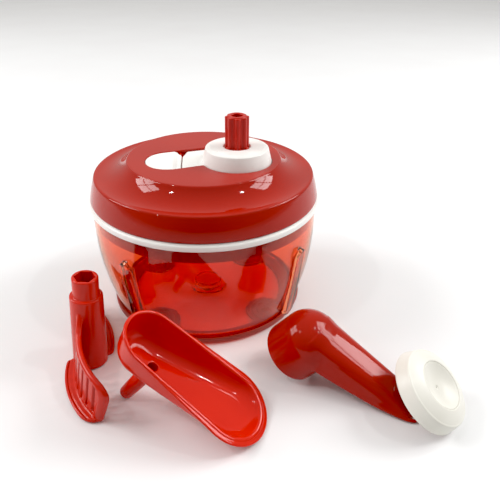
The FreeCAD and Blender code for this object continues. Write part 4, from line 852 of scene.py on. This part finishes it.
# ---------------------------------------------------------------- funnel
def funnel_piece():
    deep, lip = (-11.0, 0.0), (50.5, 0.0)
    slope = math.tan(math.radians(12.0))
    spout = flat_field([(-9, -12), (8.0, -12), (7.6, -23.0), (5.6, -26.0), (4.6, -56.2),
                        (3.4, -58.6), (-9, -58.6)], 0.6)
    floor_run = np.array([-60.0, -16.0, -4.0, 10.0, 30.0, 52.0, 62.0, 78.0])
    floor_fall = np.array([22.0, 22.0, 21.4, 18.6, 13.8, 8.6, 6.2, 2.6])
    fall = eased(floor_run, floor_fall)

    def shape(p):
        x, y, z = p
        drop = fall(x)
        plan = teardrop(x, y, deep, 18.6, lip, 21.2)
        trough = both((plan - z * slope) * 0.978, (-drop - z) * 0.97, 8.5)
        trough = np.maximum(trough, z - 6)
        outer = both((plan - 1.8 - z * slope) * 0.978, (-drop - 1.9 - z) * 0.97, 9.5)
        outer = both(outer, z + 0.4, 0.5)
        edge = teardrop(x, y, deep, 20.8, lip, 27.0)
        flange = both(edge, slab(z, -1.8, -0.35), 1.1)
        bead = teardrop(x, y, deep, 20.2, lip, 23.9)
        bead = both(bead, slab(z, -1.8, 0.0), 0.7)
        solid = either(outer, either(flange, bead, 0.5), 1.0)
        solid = either(solid, spout(np.hypot(x, y), z), 3.0)
        solid = without(solid, trough, 1.3)
        hole = np.hypot(x, y) - 3.2
        return without(solid, np.maximum(hole, z + 6), 0.5)

    points, quads = skin(shape, (-33, -29, -59), (79, 29, 0.5), 0.6)
    return piece("funnel_body", points, quads, FUNNEL, LOOSE_RED, "funnel", ["funnel"])


bowl_piece()
foot_piece()
cover_piece()
hub_piece()
flap_piece()
shaft_piece()
ring_piece()
crank_piece()
knob_pieces()
whisk_piece()
funnel_piece()


# ---------------------------------------------------------------- floor and light
LIT_POINT = (0, -0.03, 0.1)


def floor_piece():
    size = 12.0
    mesh = bpy.data.meshes.new("floor")
    mesh.from_pydata([(-size, -size, 0), (size, -size, 0), (size, size, 0), (-size, size, 0)],
                     [], [(0, 1, 2, 3)])
    mesh.materials.append(TABLE)
    made = bpy.data.objects.new("floor", mesh)
    bpy.context.scene.collection.objects.link(made)


def lamp(name, azimuth, elevation, distance, width, height, power):
    """An area light facing the set from a heading off +Y towards +X."""
    a, e = math.radians(azimuth), math.radians(elevation)
    away = Vector((math.sin(a) * math.cos(e), math.cos(a) * math.cos(e), math.sin(e)))
    data = bpy.data.lights.new(name, "AREA")
    data.shape = "RECTANGLE"
    data.size, data.size_y = width, height
    data.energy = power
    made = bpy.data.objects.new(name, data)
    made.rotation_euler = (-away).to_track_quat("-Z", "Y").to_euler()
    made.location = Vector(LIT_POINT) + away * distance
    bpy.context.scene.collection.objects.link(made)
    return made


def window(name, azimuth, elevation, power):
    """A soft box of four panes, like a window with its bars."""
    pane, gap, distance = 0.44, 0.05, 2.0
    for column in (-1, 1):
        for row in (-1, 1):
            made = lamp("%s_%d_%d" % (name, column, row), azimuth, elevation, distance,
                        pane, pane, power / 4)
            turn = made.rotation_euler.to_matrix()
            shift = Vector((column * (pane + gap) / 2, row * (pane + gap) / 2, 0))
            made.location += turn @ shift


floor_piece()
window("left_window", -80, 36, 22.5)
window("right_window", 80, 36, 22.5)
lamp("left_lamp", -113, 56, 1.6, 0.08, 0.05, 2.0)
lamp("right_lamp", 101, 59, 1.6, 0.08, 0.05, 2.0)

# A soft room light, brightest above and behind the set and dim behind the camera.
world = bpy.data.worlds.new("world")
world.use_nodes = True
sky, background = world.node_tree, world.node_tree.nodes["Background"]
background.inputs["Color"].default_value = (1.0, 0.975, 0.94, 1)
toward_back = sky.nodes.new("ShaderNodeVectorMath")
toward_back.operation = "DOT_PRODUCT"
toward_back.inputs[1].default_value = (0, 0.5, 0.866)
sky.links.new(sky.nodes.new("ShaderNodeTexCoord").outputs["Generated"], toward_back.inputs[0])
dusk = sky.nodes.new("ShaderNodeMapRange")
dusk.inputs["From Min"].default_value = -0.5
dusk.inputs["To Min"].default_value = 0.10
dusk.inputs["To Max"].default_value = 0.78
sky.links.new(toward_back.outputs["Value"], dusk.inputs["Value"])
sky.links.new(dusk.outputs["Result"], background.inputs["Strength"])
bpy.context.scene.world = world
